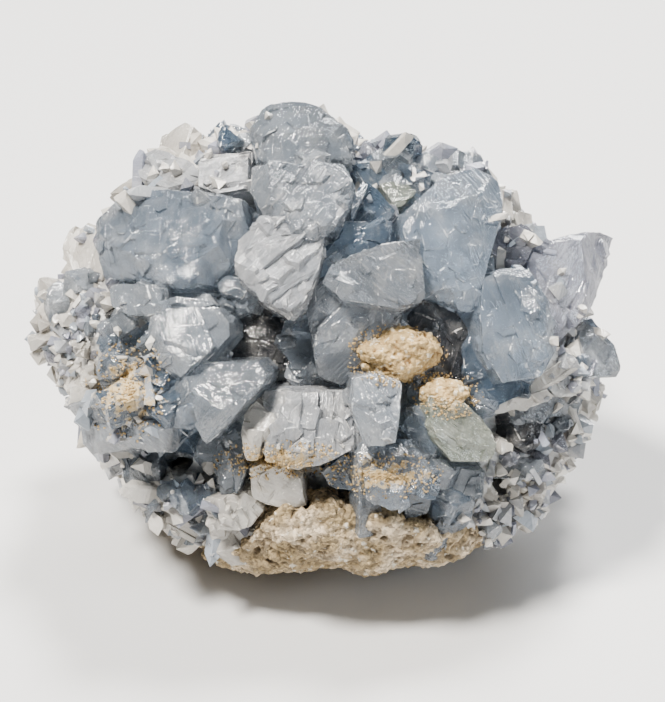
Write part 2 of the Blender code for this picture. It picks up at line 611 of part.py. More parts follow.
def celestine_crystal(base, axis, turn, length, width, thickness):
    """One crystal of celestine's own habit, growing from `base` along `axis`."""
    side = axis.orthogonal().normalized()
    side.rotate(Matrix.Rotation(turn, 3, axis))
    flat = axis.cross(side)
    tip = base + axis * length
    middle = base + axis * length * 0.5
    solid = blank(middle)
    for sign in (1.0, -1.0):
        cut_away(solid, middle + flat * sign * thickness * 0.5, flat * sign)
        for other in (1.0, -1.0):
            normal = (flat * other * math.cos(SIDE_FACE_ANGLE)
                      + side * sign * math.sin(SIDE_FACE_ANGLE))
            cut_away(solid, middle + side * sign * width * 0.5, normal)
        wedge = axis * math.cos(WEDGE_FACE_ANGLE) + side * sign * math.sin(WEDGE_FACE_ANGLE)
        cut_away(solid, tip, wedge)
        if length > SMALLEST_WITH_SLOPES * MM:
            slope = axis * math.cos(SLOPE_FACE_ANGLE) + flat * sign * math.sin(SLOPE_FACE_ANGLE)
            cut_away(solid, tip - axis * thickness * 0.12, slope)
    cut_away(solid, base - axis * CRYSTAL_FOOT * MM, -axis)
    return solid


def random_direction(source):
    """A unit direction spread evenly over the sphere."""
    toward = source.uniform(-1.0, 1.0)
    angle = source.uniform(0.0, 2.0 * math.pi)
    across = math.sqrt(1.0 - toward * toward)
    return Vector((across * math.cos(angle), across * math.sin(angle), toward))


def in_pocket(right, up):
    return any(abs(right - pocket[0]) < pocket[2] + POCKET_CLEARANCE
               and abs(up - pocket[1]) < pocket[3] + POCKET_CLEARANCE for pocket in POCKETS)


def inside_rim(point, margin):
    """Whether a world point stays within the body's outline as the eye sees it."""
    offset = point / MM - Vector(VIEW_CENTRE)
    toward = offset.dot(VIEW_TOWARD)
    right = offset.dot(VIEW_RIGHT) / (1.0 - toward / VIEW_DISTANCE)
    up = offset.dot(VIEW_UP) / (1.0 - toward / VIEW_DISTANCE)
    return math.hypot(right, up) < rim_half_width(math.atan2(up, right)) + margin


def seeded_crystals(source):
    """Crystals that fill the gaps and rims, and cover the crust where the view doesn't reach."""
    solids = []
    for count, lengths, proud, zone, margin, spacing in SEEDED:
        places = []
        for _ in range(SEED_TRIES):
            if len(places) == count:
                break
            direction = random_direction(source)
            length = source.uniform(*lengths)
            share_proud = source.uniform(*proud)
            tilt = Vector([source.uniform(-CRYSTAL_TILT, CRYSTAL_TILT) for _ in range(3)])
            turn = source.uniform(0.0, math.pi)
            width = length * source.uniform(*CRYSTAL_WIDTHS)
            thickness = length * source.uniform(*CRYSTAL_THICKNESSES)
            if not zone[0] < direction.z < zone[1]:
                continue
            place = direction * body_reach(direction)
            if direction.z > 0.0 and in_pocket(place.x, place.y):
                continue
            surface = from_view(*place)
            x, y, z = surface / MM
            if z < matrix_top(x, y) + BOUNDARY_CLEARANCE:
                continue
            if any((surface - other).length < spacing * MM for other in places):
                continue
            outward = view_direction(*direction)
            axis = (outward + tilt).normalized()
            base = surface - axis * length * (1.0 - share_proud) * MM
            if not inside_rim(base + axis * length * MM, margin):
                continue
            places.append(surface)
            solids.append(celestine_crystal(
                base, axis, turn, length * MM, width * MM, thickness * MM))
    return solids


def pocket_cutters():
    """Tapered blocks that open the dark pockets in the body."""
    cutters = []
    for number, (right, up, half_width, half_height, bottom) in enumerate(POCKETS):
        solid = bmesh.new()
        for toward, share in ((POCKET_START, POCKET_TOP_SHARE), (bottom, POCKET_BOTTOM_SHARE)):
            shrink = 1.0 - toward / VIEW_DISTANCE
            for corner in range(6):
                angle = math.radians(60.0 * corner + 14.0 * number)
                solid.verts.new(from_view(
                    (right + half_width * share * math.cos(angle)) * shrink,
                    (up + half_height * share * math.sin(angle)) * shrink, toward))
        bmesh.ops.convex_hull(solid, input=solid.verts[:])
        cutters.append(new_object(f"pocket_{number}", solid))
    return cutters


def lump_solid(centre, half_sizes, subdivisions, grow, seed):
    """A knobbly rounded lump of sand grains."""
    solid = bmesh.new()
    bmesh.ops.create_icosphere(solid, subdivisions=subdivisions, radius=1.0)
    right, up, toward = centre
    shrink = 1.0 - toward / VIEW_DISTANCE
    for vertex in solid.verts:
        direction = vertex.co.normalized()
        rough = 1.0 + rock_relief(direction, seed, LUMP_RELIEF)
        offset = Vector([direction[index] * (half_sizes[index] * rough + grow)
                         for index in range(3)])
        vertex.co = from_view(right * shrink + offset.x, up * shrink + offset.y,
                              toward + offset.z)
    return solid


def matrix_solid(name, grow):
    """Host rock: the part of the body below the boundary, with a flat spot to rest on."""
    item = new_object(name, body_solid(4, grow, 3.0, MATRIX_RELIEF))
    under = new_object("under", below_matrix_top(grow))
    boolean(item, [under], "INTERSECT")
    solid = bmesh.new()
    solid.from_mesh(item.data)
    cut_away(solid, Vector((0.0, 0.0, 0.0)), Vector((0.0, 0.0, -1.0)))
    solid.to_mesh(item.data)
    solid.free()
    return item


def build():
    clear_scene()
    matrix = matrix_solid("matrix", 0.0)
    matrix_cutter = matrix_solid("matrix_cutter", GAP)
    for vertex in matrix_cutter.data.vertices:
        if vertex.co.z < 1e-6:
            vertex.co.z = -0.01

    celestite = new_object("celestite", body_solid(3, -CRUST_INSET, 9.0, CRUST_RELIEF))
    boolean(celestite, pocket_cutters(), "DIFFERENCE")
    source = random.Random(SEED)
    crystals = [
        new_object(name, placed_crystal(*shape, source)) for name, shape in CRYSTALS.items()]
    crystals += [new_object("seeded", solid) for solid in seeded_crystals(source)]
    boolean(celestite, crystals, "UNION")

    cutters = [matrix_cutter]
    for seed, (name, shape) in enumerate(SANDY_LUMPS.items()):
        new_object(name, lump_solid(*shape, 0.0, 5.0 + seed))
        cutters.append(new_object("cutter", lump_solid(*shape, GAP, 5.0 + seed)))
    boolean(celestite, cutters, "DIFFERENCE")
    solid = bmesh.new()
    solid.from_mesh(celestite.data)
    cut_away(solid, Vector((0.0, 0.0, CRUST_FLOOR_CLEARANCE * MM)), Vector((0.0, 0.0, -1.0)))
    solid.to_mesh(celestite.data)
    solid.free()

    finishes = {
        "celestite": make_material("celestite", (0.42, 0.5, 0.58), 0.2),
        "matrix": make_material("matrix", (0.45, 0.38, 0.27), 0.95),
        "sand": make_material("sand", (0.5, 0.33, 0.16), 0.95),
    }
    for name, finish in (("celestite", "celestite"), ("matrix", "matrix"),
                         ("sandy_lump_upper", "sand"), ("sandy_lump_lower", "sand")):
        item = bpy.data.objects[name]
        tidy_solid(item)
        item.data.materials.clear()
        item.data.materials.append(finishes[finish])


build()
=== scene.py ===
"""Celestite cluster, dressed: clear blue crystals, their druse and crust, and sandy matrix.

Lengths are in millimetres until `from_view` or MM turns them into metres. The crystals on the
side that shows best are laid out in a sloping frame that looks down on the cluster: `right` is
world +X, `up` leans back with the view, and `toward` points at the eye. The crystals are the
model's own, given growth steps, chips, worn edges and low growths, and united in one skin.
"""

import math
import random

import bmesh
import bpy
import numpy as np
from mathutils import Matrix, Vector, noise
from mathutils.bvhtree import BVHTree


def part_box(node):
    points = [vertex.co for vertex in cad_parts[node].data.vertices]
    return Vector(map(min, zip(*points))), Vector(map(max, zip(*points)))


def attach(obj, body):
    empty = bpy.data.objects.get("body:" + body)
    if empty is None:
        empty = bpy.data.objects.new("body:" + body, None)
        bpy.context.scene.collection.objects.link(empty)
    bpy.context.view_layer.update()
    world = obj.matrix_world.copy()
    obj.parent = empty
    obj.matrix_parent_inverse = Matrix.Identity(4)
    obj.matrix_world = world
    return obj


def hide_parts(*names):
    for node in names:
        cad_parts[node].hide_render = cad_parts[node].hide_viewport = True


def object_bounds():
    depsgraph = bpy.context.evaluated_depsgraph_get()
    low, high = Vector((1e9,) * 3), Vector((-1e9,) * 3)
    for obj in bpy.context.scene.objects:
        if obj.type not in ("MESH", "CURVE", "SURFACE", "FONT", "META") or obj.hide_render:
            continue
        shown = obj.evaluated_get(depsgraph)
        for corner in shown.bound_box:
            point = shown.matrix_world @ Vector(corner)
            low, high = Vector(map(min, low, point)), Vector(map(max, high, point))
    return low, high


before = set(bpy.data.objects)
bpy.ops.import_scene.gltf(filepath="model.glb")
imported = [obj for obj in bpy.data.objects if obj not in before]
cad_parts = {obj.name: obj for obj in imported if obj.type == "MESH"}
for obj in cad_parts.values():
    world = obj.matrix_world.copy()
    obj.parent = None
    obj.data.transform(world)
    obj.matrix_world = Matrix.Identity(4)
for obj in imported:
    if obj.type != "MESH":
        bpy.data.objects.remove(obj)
cad_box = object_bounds()

MM = 0.001
FULL_TURN = 2.0 * math.pi

# The sloping frame: how far its axis looks down, where its centre is and how far off the eye is.
VIEW_ELEVATION = math.radians(30.0)
VIEW_CENTRE = (1.0, 0.4, 52.0)
VIEW_DISTANCE = 480.0

# The lumpy body under the crystals: its half width at every 15 degrees round the view axis,
# counted from the right, and its half depth towards the eye and away from it.
BODY_RIM = (
    66, 59, 54, 55, 52, 48, 52, 56, 57, 60, 62, 66,
    69, 62, 60, 60, 59, 58.5, 56.5, 58, 63, 64, 64, 65,
)
BODY_FRONT = 46.0
BODY_BACK = 52.0
BODY_ROUNDNESS = 2.6
CRUST_INSET = 1.6
CRUST_DIVISIONS = 5
ROOTS_DIVISIONS = 3

# Relief of the crust: the heights of its broad swells, knobs and grains, the size of each as a
# share of the body's radius, and where the noise is read.
CRUST_RELIEF = (4.0, 6.0, 2.5)
SWELL_SIZE = 0.6
KNOB_SIZE = 0.32
KNOB_LEVEL = 0.45
GRAIN_SIZE = 0.11
CRUST_PLACE = Vector((9.0, 6.3, 2.7))

# The body starts as a ball whose corners are moved sideways a little, so that its faces don't
# line up: how far for a ball divided once, over what size, and where the noise is read for each
# of the three directions.
SIDEWAYS = 0.175
SIDEWAYS_SIZE = 0.11
SIDEWAYS_PLACES = (Vector((9.0, 0.0, 0.0)), Vector((0.0, 9.0, 0.0)), Vector((0.0, 0.0, 9.0)))

# The matrix: its top is low under the crystals, humped at the front and raised at the back.
# The hump and the rise are given by where they start and how far on they are full.
MATRIX_LEVEL = 11.0
MATRIX_FRONT_HUMP = 27.0
MATRIX_HUMP_CENTRE = 8.0
MATRIX_HUMP_HALF_WIDTH = 30.0
MATRIX_HUMP_START = -8.0
MATRIX_HUMP_RUN = 36.0
MATRIX_BACK_RISE = 74.0
MATRIX_BACK_START = 6.0
MATRIX_BACK_RUN = 44.0
MATRIX_TOP_WAVE = 7.0
MATRIX_TOP_WAVE_SIZE = 18.0
MATRIX_TOP_PLACE = Vector((0.0, 0.0, 4.0))
CRUST_FLOOR_CLEARANCE = 2.0

# Half the side of the cube that every crystal is cut from.
BLANK_HALF_SIZE = 100.0

# How much a crystal's axis leans outwards with its place, and how far its root reaches inwards.
CRYSTAL_LEAN = 0.5
ROOT_DEPTH = 42.0

# Extra faces that cut a corner of each laid-out crystal: how many, where they start between the
# corner and the middle, and how much more steeply they fall than the first face.
CORNER_FACES = 2
CORNER_FACE_START = (0.25, 0.5)
CORNER_FACE_FALL = (0.5, 1.1)

# Celestine's faces on a crystal drawn out along its b axis: the angle of the side faces from the
# flat ones, and of the two pairs of end faces from the long axis.
SIDE_FACE_ANGLE = math.radians(39.4)
WEDGE_FACE_ANGLE = math.radians(52.1)
SLOPE_FACE_ANGLE = math.radians(38.0)

# Crystals laid out one by one. Each has its look, how many millimetres in front of the view
# centre its first face passes at that face's point, its outline as (right, up) corners, and its
# faces as (right, up, falls to the right, falls upwards). The others turn away from the first.
CRYSTALS = {
    "blade_upper_left": ("blue", 50, [
        (-58, 30.5), (-51, 38), (-41.5, 39), (-22, 37), (-21.5, 30.5),
        (-25, 21.5), (-30, 15), (-42, 15), (-56, 16.5)],
        [(-30, 15, -0.55, 0.55), (-30, 15, -1.0, -0.5), (-30, 29, -0.35, 0.15),
         (-34, 37, -0.4, 1.3)]),
    "cream_left": ("white", 22, [
        (-66.5, 29), (-62, 31.3), (-57, 30), (-56, 20.5), (-57, 15.5), (-65.5, 18), (-67, 23.5)],
        [(-60, 24, -0.9, 0.3)]),
    "step_top_left": ("white", 14, [
        (-43, 49.5), (-42, 52.5), (-36.5, 55.8), (-32, 53.8), (-30.8, 49), (-34.5, 46), (-42, 46)],
        [(-37, 51, -0.5, 0.8)]),
    "step_left": ("white", 16, [
        (-56, 37), (-52.5, 41), (-48, 43), (-42, 43), (-41.5, 39.5), (-51, 38)],
        [(-50, 40, -0.7, 0.7)]),
    "step_mid_left": ("broken", 24, [
        (-48, 46), (-43, 49), (-34.5, 46), (-30.5, 42), (-34.5, 39), (-47, 39.5)],
        [(-40, 43, -0.3, 0.8)]),
    "blue_patch_top": ("blue", 16, [
        (-32, 53.5), (-26.5, 56.3), (-20.5, 56), (-19.5, 48.5), (-26.5, 48), (-32, 49.5)],
        [(-26, 52, -0.1, 0.7)]),
    "stepped_white_top": ("broken", 32, [
        (-33, 48.5), (-26.5, 49), (-19.5, 48.5), (-20, 38.5), (-28, 38), (-33, 40)],
        [(-26, 44, -0.2, 0.6)]),
    "dome_top": ("grey", 34, [
        (-20, 53), (-16.5, 59), (-11, 60.8), (0.5, 56.5), (5, 54.3),
        (6.8, 49.8), (6, 45.5), (-7, 44.8), (-18, 45.5)],
        [(-7, 50, -0.1, 0.1), (-9, 51.5, -0.2, 1.1), (-2.5, 51, 0.9, 0.5), (-15, 50, -0.9, 0.3)]),
    "striated_top": ("lined", 51, [
        (-19.5, 44.8), (-11, 46), (4.3, 45.8), (7, 39), (5.5, 34.5),
        (2, 30), (-7, 28.3), (-16.5, 32), (-19.5, 38)],
        [(0, 38, 0.25, 0.55), (4.5, 38, 1.6, -0.1), (-9, 38, -0.8, 0.3), (-3, 31, 0.0, -0.5)]),
    "rough_white_upper": ("broken", 58, [
        (-22.5, 26), (-16.5, 31.5), (-7, 29), (-0.5, 28), (-2, 21),
        (-4, 16), (-6.3, 11), (-9.5, 8.3), (-16, 11), (-23, 17)],
        [(-9, 20, 0.1, 0.35), (-13, 15, -0.6, -0.5), (-4, 21, 1.1, 0.1), (-8, 13, 0.7, -0.8)]),
    "deep_blue_upper": ("deep", 43, [
        (6, 37.3), (8.5, 41.5), (13, 39), (17, 33), (15, 30.5), (5.5, 30.5)],
        [(12, 35, 0.6, 0.5), (9, 33, 0.1, 0.0)]),
    "deep_blue_lower": ("deep", 46, [
        (4.3, 31), (16, 31), (15.8, 25.8), (9.3, 22.5), (2.5, 20), (-1.5, 15.8), (-2.8, 17.5)],
        [(8, 27, 0.2, -0.2), (12, 28, 0.9, 0.2)]),
    "grey_striated": ("lined", 53, [
        (1.8, 20.5), (9.3, 23.5), (16, 25.8), (23.8, 27), (24.5, 11), (18, 8), (4.3, 10.8),
        (-1.5, 15.3)],
        [(12, 17, 0.2, -0.1), (20, 24.5, 0.1, 1.4), (5, 15, -0.5, -0.2), (21, 13, 0.9, -0.6)]),
    "pale_blue_right": ("blue", 44, [
        (18, 32), (28, 41), (36.8, 44.5), (43, 40.5), (43.8, 38), (42.5, 31.5), (41.8, 24.8),
        (40, 18), (37.5, 11), (35, 7.8), (30.5, 9.3), (24, 13.5), (20, 24)],
        [(34, 26, 0.15, 0.15), (34, 34, -0.1, 0.9), (40, 26, 1.0, 0.0), (29, 17, -0.7, -0.7),
         (26, 27, -0.5, 0.2)]),
    "brown_back": ("dark", 8, [
        (6.8, 49.5), (15.5, 50.5), (24, 49.3), (25, 46), (18, 43.5), (8, 44.5)],
        [(16, 47, 0, 1.0)]),
    "grey_back": ("grey", 12, [
        (17.5, 42), (24.3, 48.5), (29.3, 49.5), (39.3, 48.8), (44.3, 40), (28, 37), (18, 38.5)],
        [(31, 45, 0.1, 0.9)]),
    "yellow_green_back": ("green", 33, [
        (12.5, 40.5), (16.8, 42), (23, 39), (19.3, 35), (17, 34.5)],
        [(17, 38, 0.1, 0.5)]),
    "pink_small_upper": ("white", 18, [
        (43, 39.5), (48.8, 39.5), (50, 34.5), (48.5, 30.5), (43, 30)],
        [(46, 35, 0.6, 0.5)]),
    "pink_small_lower": ("white", 18, [
        (48.5, 34), (52, 33.3), (53, 28), (50.5, 27), (46.8, 30)],
        [(50, 31, 0.9, 0.4)]),
    "pale_lilac": ("lilac", 30, [
        (42.8, 29.5), (50.5, 30.5), (53.8, 27), (48.5, 18.8), (45.8, 21.5), (42.8, 24)],
        [(48, 26, 0.25, 0.35)]),
    "right_point": ("lilac", 30, [
        (52.5, 25.5), (59.5, 26.3), (69, 28.3), (71.3, 26.5), (69.3, 20.5), (66.5, 10.5),
        (64, 6.5), (58, -0.5), (54.3, 8), (49.3, 19)],
        [(58, 15, 0.25, 0.1), (63, 18, 1.6, 0.2), (60, 24.5, 0.2, 1.5)]),
    "right_joint": ("cream", 35, [
        (54.3, -0.3), (59.3, -2), (65.5, -8.5), (64.3, -12.8), (58, -13.5), (54.3, -10.5),
        (51.8, -9)],
        [(58, -7, 0.4, 0.0)]),
    "grey_between": ("grey", 43, [
        (-28, 14.8), (-26, 17.5), (-22.5, 17), (-20.5, 13.5), (-22.5, 10.5), (-26.5, 10.5)],
        [(-24, 14, -0.2, 0.2)]),
    "white_crust_low": ("white", 27, [
        (-30, -46), (-19, -46.5), (-14, -49), (-17, -54), (-24, -55.5), (-30, -52)],
        [(-23, -50, -0.1, -0.7)]),
    "right_lower": ("pale", 24, [
        (64, 6), (71.3, 0.8), (73.5, -6), (73, -8.3), (65.5, -8.8), (59, -2), (61, 3.5)],
        [(66, -1, 0.5, 0.0), (67, -0.5, 0.5, 1.0), (63, -3, -0.3, -0.4)]),
    "tall_right": ("blue", 47, [
        (38.8, 16.5), (43, 19), (50.5, 19), (54.3, 11.5), (56.3, 3.5), (57.5, -0.8), (52, -9),
        (44.3, -10.5), (40, -2), (38, 7)],
        [(47, 6, 0.1, 0.2), (52.5, 5, 1.1, 0.1), (48, 14, 0.2, 1.0), (41, 4, -0.7, 0.1),
         (48, -6, 0.2, -0.7)]),
    "blue_under_tall": ("deep", 41, [
        (34, -0.3), (36.5, 6.5), (39.5, 5.5), (51.5, -7), (50.5, -12.8), (41.8, -16.3),
        (34.5, -15.5)],
        [(43, -8, 0.1, 0.05)]),
    "dark_rough": ("dark", 41, [
        (23, 11.8), (33, 8.5), (36, 3.5), (33.5, -9.5), (27, -7), (20, 2.3)],
        [(28, 2, 0.1, 0.1)]),
    "striated_centre": ("lined", 48, [
        (-6.3, 11), (-1.5, 15.3), (4.3, 11.5), (16, 9), (17.5, 4.8), (16, 1), (10, -3),
        (6, -7), (3, -10.5), (-2.5, -8.5)],
        [(5, 4, 0.25, -0.15), (-1, 6, -1.1, 0.1), (8, 0, 0.3, -0.7)]),
    "grey_centre": ("grey", 43, [
        (-10.8, 6), (-1.5, 3.5), (1.8, -7.8), (-7, -9), (-12.5, -0.3)],
        [(-5, -2, -0.2, 0.1)]),
    "dark_centre": ("dark", 39, [
        (-25, 3.5), (-20.8, 11), (-9.5, 9), (-7, 2.3), (-6.5, -7), (-16.5, -7), (-24.5, -3.5)],
        [(-16, 1, -0.1, 0.15)]),
    "pale_lower_centre": ("pale", 53, [
        (6, -8), (11.8, -7.3), (18.8, -9), (18.3, -17), (17.5, -23.5), (14.3, -25.5),
        (9.3, -25.3), (6.5, -19), (5.5, -14)],
        [(13, -12, 0.1, 0.45), (12, -17, -0.5, -0.4), (16, -15, 0.9, 0.0)]),
    "grey_rough_low": ("broken", 48, [
        (-15.8, -12), (-10.8, -11.3), (5.5, -12), (8, -19), (8.5, -25), (0.5, -29.5),
        (-7, -31.5), (-15.5, -29.5), (-16.5, -19)],
        [(-3, -18, 0.05, 0.2), (-3, -13.5, 0, 1.0), (-3, -24, 0.15, -0.7), (-12, -20, -0.6, 0.1),
         (5, -20, 0.7, 0.1)]),
    "white_pink": ("white", 49, [
        (-22, -24), (-21.5, -17), (-18.5, -14.5), (-15, -17), (-16, -24), (-17.5, -29.5),
        (-20.5, -29.5)],
        [(-18.5, -20, -0.3, 0.3), (-18.5, -22, 0.3, -0.5)]),
    "grey_blue_low": ("grey", 43, [
        (-32, -26.5), (-24, -21.5), (-22, -25.5), (-20.5, -31.5), (-23, -38.5),
        (-28.5, -39.5), (-31.3, -34.5)],
        [(-27, -30, 0.0, 0.2), (-27, -33, -0.2, -0.7), (-24, -29, 0.8, 0.0)]),
    "dark_blue_low": ("deep", 41, [
        (2.5, -28.5), (8.5, -27), (11, -31.5), (8, -36.5), (0.5, -36), (-2, -32)],
        [(5, -32, 0, -0.3)]),
    "cream_chip": ("cream", 43, [
        (9, -26), (14.3, -25.5), (18, -31.5), (18.5, -36.5), (14, -39), (10, -35.5)],
        [(14, -32, 0.2, -0.3)]),
    "white_low_left": ("white", 41, [
        (-20.5, -31.5), (-16.5, -30), (-7, -33.5), (-5.5, -40.3), (-12, -42), (-19.5, -39)],
        [(-14, -36, -0.1, -0.5)]),
    "yellow_green_low": ("green", 48, [
        (25.5, -12.8), (30.5, -12.5), (34.5, -15), (40.5, -20.3), (43.3, -25.5), (40.5, -29.5),
        (31, -29.5), (27, -24.5), (25, -17.8)],
        [(34, -21, 0.3, 0.05), (33, -17, 0.2, 0.8), (36, -26, 0.3, -0.8), (29, -20, -0.5, 0.0)]),
    "blue_low": ("blue", 43, [
        (18.5, -21.5), (20, -17), (23, -16), (26, -17), (26.5, -24), (25.5, -27), (21.5, -25.5)],
        [(22, -21, 0.1, 0.1)]),
    "blue_lowest": ("blue", 45, [
        (17.3, -24), (21, -24), (26.5, -29), (28.5, -33.5), (27.3, -39.5), (22.5, -39), (18, -34)],
        [(22, -31, 0.4, 0.2), (20, -33, -0.4, -0.4)]),
    "striated_low": ("grey", 40, [
        (17.5, -36), (22.5, -38), (27, -40), (26, -44), (19.3, -44.5)],
        [(22, -41, 0.1, -0.5)]),
    "dark_sparkly": ("dark", 34, [
        (43, -18.5), (49.3, -15.8), (55, -21), (50.5, -28.3), (45.5, -25.5)],
        [(49, -22, 0.2, 0.1), (50.5, -24, 0.8, -1.2)]),
    "light_band": ("white", 38, [
        (40.5, -17), (48, -12.8), (54.5, -11), (57, -13.5), (49.5, -16.5), (43, -18.5)],
        [(49, -14.5, 0.4, -0.4)]),
    "grey_right": ("grey", 31, [
        (54.3, -10.3), (61.8, -15.3), (60.5, -18.5), (50.5, -18.5), (49.3, -16)],
        [(56, -15, 0.5, -0.1)]),
    "white_spot": ("white", 38, [
        (43, -26), (44.5, -24), (46.8, -25), (47, -27.5), (44.3, -28.5)],
        [(45, -26, 0.1, 0)]),
    "rim_right_upper": ("massive", 20, [
        (57, -12.8), (65, -8.8), (70.5, -10.3), (68, -15.3), (64, -20.3), (58, -19)],
        [(63, -14, 0.8, -0.2)]),
    "rim_right_mid": ("massive", 20, [
        (54.3, -21.5), (63, -21), (63.8, -23.3), (61.8, -26.5), (58.5, -31.5), (53, -29.5)],
        [(58, -25, 0.8, -0.3)]),
    "rim_right_low": ("massive", 25, [
        (48, -29.5), (55, -28.5), (58.5, -34), (54.3, -39), (48, -38.5), (45.5, -34)],
        [(52, -33, 0.6, -0.4)]),
    "dark_wedge": ("dark", 23, [
        (39.3, -40.3), (43, -39), (53.5, -39.8), (52, -42), (44.3, -46.5), (40.5, -44)],
        [(46, -42, 0.3, -0.6)]),
    "grey_low_right": ("grey", 39, [
        (28, -31), (39.5, -31.5), (40, -39), (35.5, -41.5), (28, -39)],
        [(34, -35, 0.2, -0.3)]),
    "chip_low_right": ("massive", 31, [
        (27.5, -40), (35.5, -42), (38, -47.8), (31.8, -50), (25.5, -46.5)],
        [(32, -45, 0.3, -0.8)]),
    "left_centre": ("pale", 51, [
        (-44.5, 6.5), (-40.8, 9), (-28.5, 9.8), (-25.5, 6), (-24.8, 2), (-30.8, -3.5),
        (-36.5, -9), (-42.5, -4.5), (-45, 1)],
        [(-33, 3, 0.0, 0.4), (-37, 0, -0.6, -0.4), (-41, 3, -1.2, 0.1), (-29, 3, 0.8, -0.2)]),
    "blade_left_low": ("pale", 53, [
        (-36.8, -9), (-32, -4.5), (-17.5, -4.5), (-15.3, -7), (-16.5, -10.5), (-21, -15.5),
        (-25, -20), (-30.5, -25.3), (-33, -21), (-36, -14.5)],
        [(-25, -10, -0.05, 0.5), (-25, -13, 0.1, -0.4), (-31, -17, -0.7, -0.2)]),
    "small_left": ("pale", 38, [
        (-56, 15.5), (-49.5, 15.3), (-40.8, 14.5), (-42, 8), (-49.5, 6.5), (-55, 9.5)],
        [(-49, 11, -0.5, 0.2)]),
    "small_left_inner": ("pale", 44, [
        (-42, 13.5), (-30.8, 13), (-28.5, 10), (-34.5, 8), (-40.8, 8.5)],
        [(-36, 11, -0.2, 0.2)]),
    "massive_left": ("massive", 42, [
        (-54.5, -7), (-44.5, -1.5), (-37, -9), (-32, -22), (-42, -23), (-52.5, -21.5)],
        [(-43, -11, -0.4, 0.2), (-43, -15, -0.3, -0.5), (-48, -10, -0.9, 0.1)]),
    "rim_left": ("massive", 22, [
        (-73, 11), (-69.5, 16), (-60.8, 16), (-57, 8), (-59.5, -1.5), (-69.5, -4.5), (-73.5, 1)],
        [(-64, 5, -0.7, 0.1)]),
    "rim_left_low": ("massive", 22, [
        (-69.5, -4.5), (-59, -2), (-53, -7.8), (-54, -19), (-61, -19), (-65.5, -11.5)],
        [(-60, -10, -0.6, -0.1)]),
    "rim_left_lowest": ("massive", 16, [
        (-61, -19.5), (-54, -17.8), (-51.5, -24), (-52.5, -31.5), (-57, -31), (-60, -25.3)],
        [(-56, -25, -0.7, -0.3)]),
    "round_grey_left": ("grey", 31, [
        (-52, -24), (-45.8, -21), (-42.5, -24), (-42.5, -34), (-44.5, -39), (-50.8, -36.5),
        (-52.5, -30)],
        [(-47, -28, -0.4, 0.1), (-47, -32, -0.4, -0.6), (-45, -29, 0.4, -0.1)]),
    "cream_points_left": ("cream", 28, [
        (-45, -38.5), (-40.8, -33), (-34.5, -32.8), (-32, -39), (-37, -42), (-43, -41.5)],
        [(-39, -38, -0.3, -0.4)]),
    "white_bottom_left": ("white", 22, [
        (-44.8, -42), (-32, -40.3), (-28.3, -46.5), (-30.8, -51.3), (-40.8, -46.5)],
        [(-36, -45, -0.3, -0.7), (-38, -43.5, -0.4, 0.1)]),
    "white_low": ("white", 36, [
        (-32, -39), (-22, -37.8), (-16.5, -42), (-19.5, -46.5), (-28.3, -46.5)],
        [(-24, -42, -0.2, -0.6)]),
}

# Dark pockets among the crystals, as (right, up, half width, half height, bottom). Their cutters
# have six corners and taper: how far out they start, and their widths there and at the bottom.
POCKETS = (
    (-37.5, -28.5, 5.5, 5.5, 14),
    (43, -35, 3.5, 4.5, 10),
    (-29, 15.5, 3.5, 3.5, 30),
    (-27.5, -1.5, 3.5, 3.5, 30),
    (-12, -10, 5.0, 2.0, 32),
    (44, 20.5, 4.0, 2.5, 26),
)
POCKET_START = 62.0
POCKET_TOP_SHARE = 1.3
POCKET_BOTTOM_SHARE = 0.55
POCKET_CORNERS = 6
POCKET_TURN = 14.0
POCKET_CLEARANCE = 2.0

# Seeded crystals, one group to a line: how many, their lengths, the share of the length that
# stands proud of the body, where they grow (1 is straight towards the eye, -1 away from it),
# how far they may reach past the body's outline as the eye sees it, and how far apart they are.
SEED = 11
SEED_TRIES = 6000
SEEDED = (
    (24, (10.0, 16.0), (0.1, 0.3), (0.3, 0.75), 4.5, 9.0),
    (56, (10.0, 18.0), (0.22, 0.42), (-0.2, 0.35), 3.5, 8.5),
    (36, (24.0, 40.0), (0.35, 0.6), (-0.9, -0.15), 3.5, 11.0),
)
CRYSTAL_WIDTHS = (0.4, 0.62)
CRYSTAL_THICKNESSES = (0.3, 0.5)
CRYSTAL_TILT = 0.5
CRYSTAL_FOOT = 4.0
SMALLEST_WITH_SLOPES = 18.0
SLOPE_START = 0.12
BOUNDARY_CLEARANCE = 3.0

# How crystals look: tint, how clear they are (0 to 1), how far their breaks stand out, how strong
# the fine lines on their faces are, and how many growth steps the first face has. The rough
# looks go into the massive base, and the others are clear crystals with flat faces.
LOOKS = {
    "blue": ((0.34, 0.41, 0.50), 0.9, 0.05, 0.5, 3),
    "deep": ((0.17, 0.24, 0.33), 0.95, 0.05, 0.3, 2),
    "pale": ((0.45, 0.50, 0.56), 0.85, 0.12, 0.4, 4),
    "grey": ((0.31, 0.36, 0.42), 0.9, 0.12, 0.5, 3),
    "lined": ((0.36, 0.40, 0.45), 0.8, 0.1, 1.0, 4),
    "dark": ((0.03, 0.035, 0.047), 0.8, 0.2, 0.4, 2),
    "broken": ((0.46, 0.48, 0.51), 0.65, 0.45, 0.5, 5),
    "lilac": ((0.43, 0.45, 0.53), 0.85, 0.06, 0.3, 2),
    "white": ((0.72, 0.69, 0.64), 0.6, 0.3, 0.3, 3),
    "cream": ((0.56, 0.50, 0.41), 0.12, 0.45, 0.1, 2),
    "green": ((0.44, 0.48, 0.41), 0.8, 0.1, 0.4, 3),
    "massive": ((0.53, 0.50, 0.46), 0.05, 0.8, 0.0, 2),
}
ROUGH_LOOKS = ("massive", "cream")
SEEDED_LOOKS = ("pale", "pale", "grey", "lilac", "white", "blue")
SHADES = (0.9, 1.1)
BRIGHTEST_TINT = 0.9
CRUST_GRAIN = Vector((0.3, 0.2, 0.9))

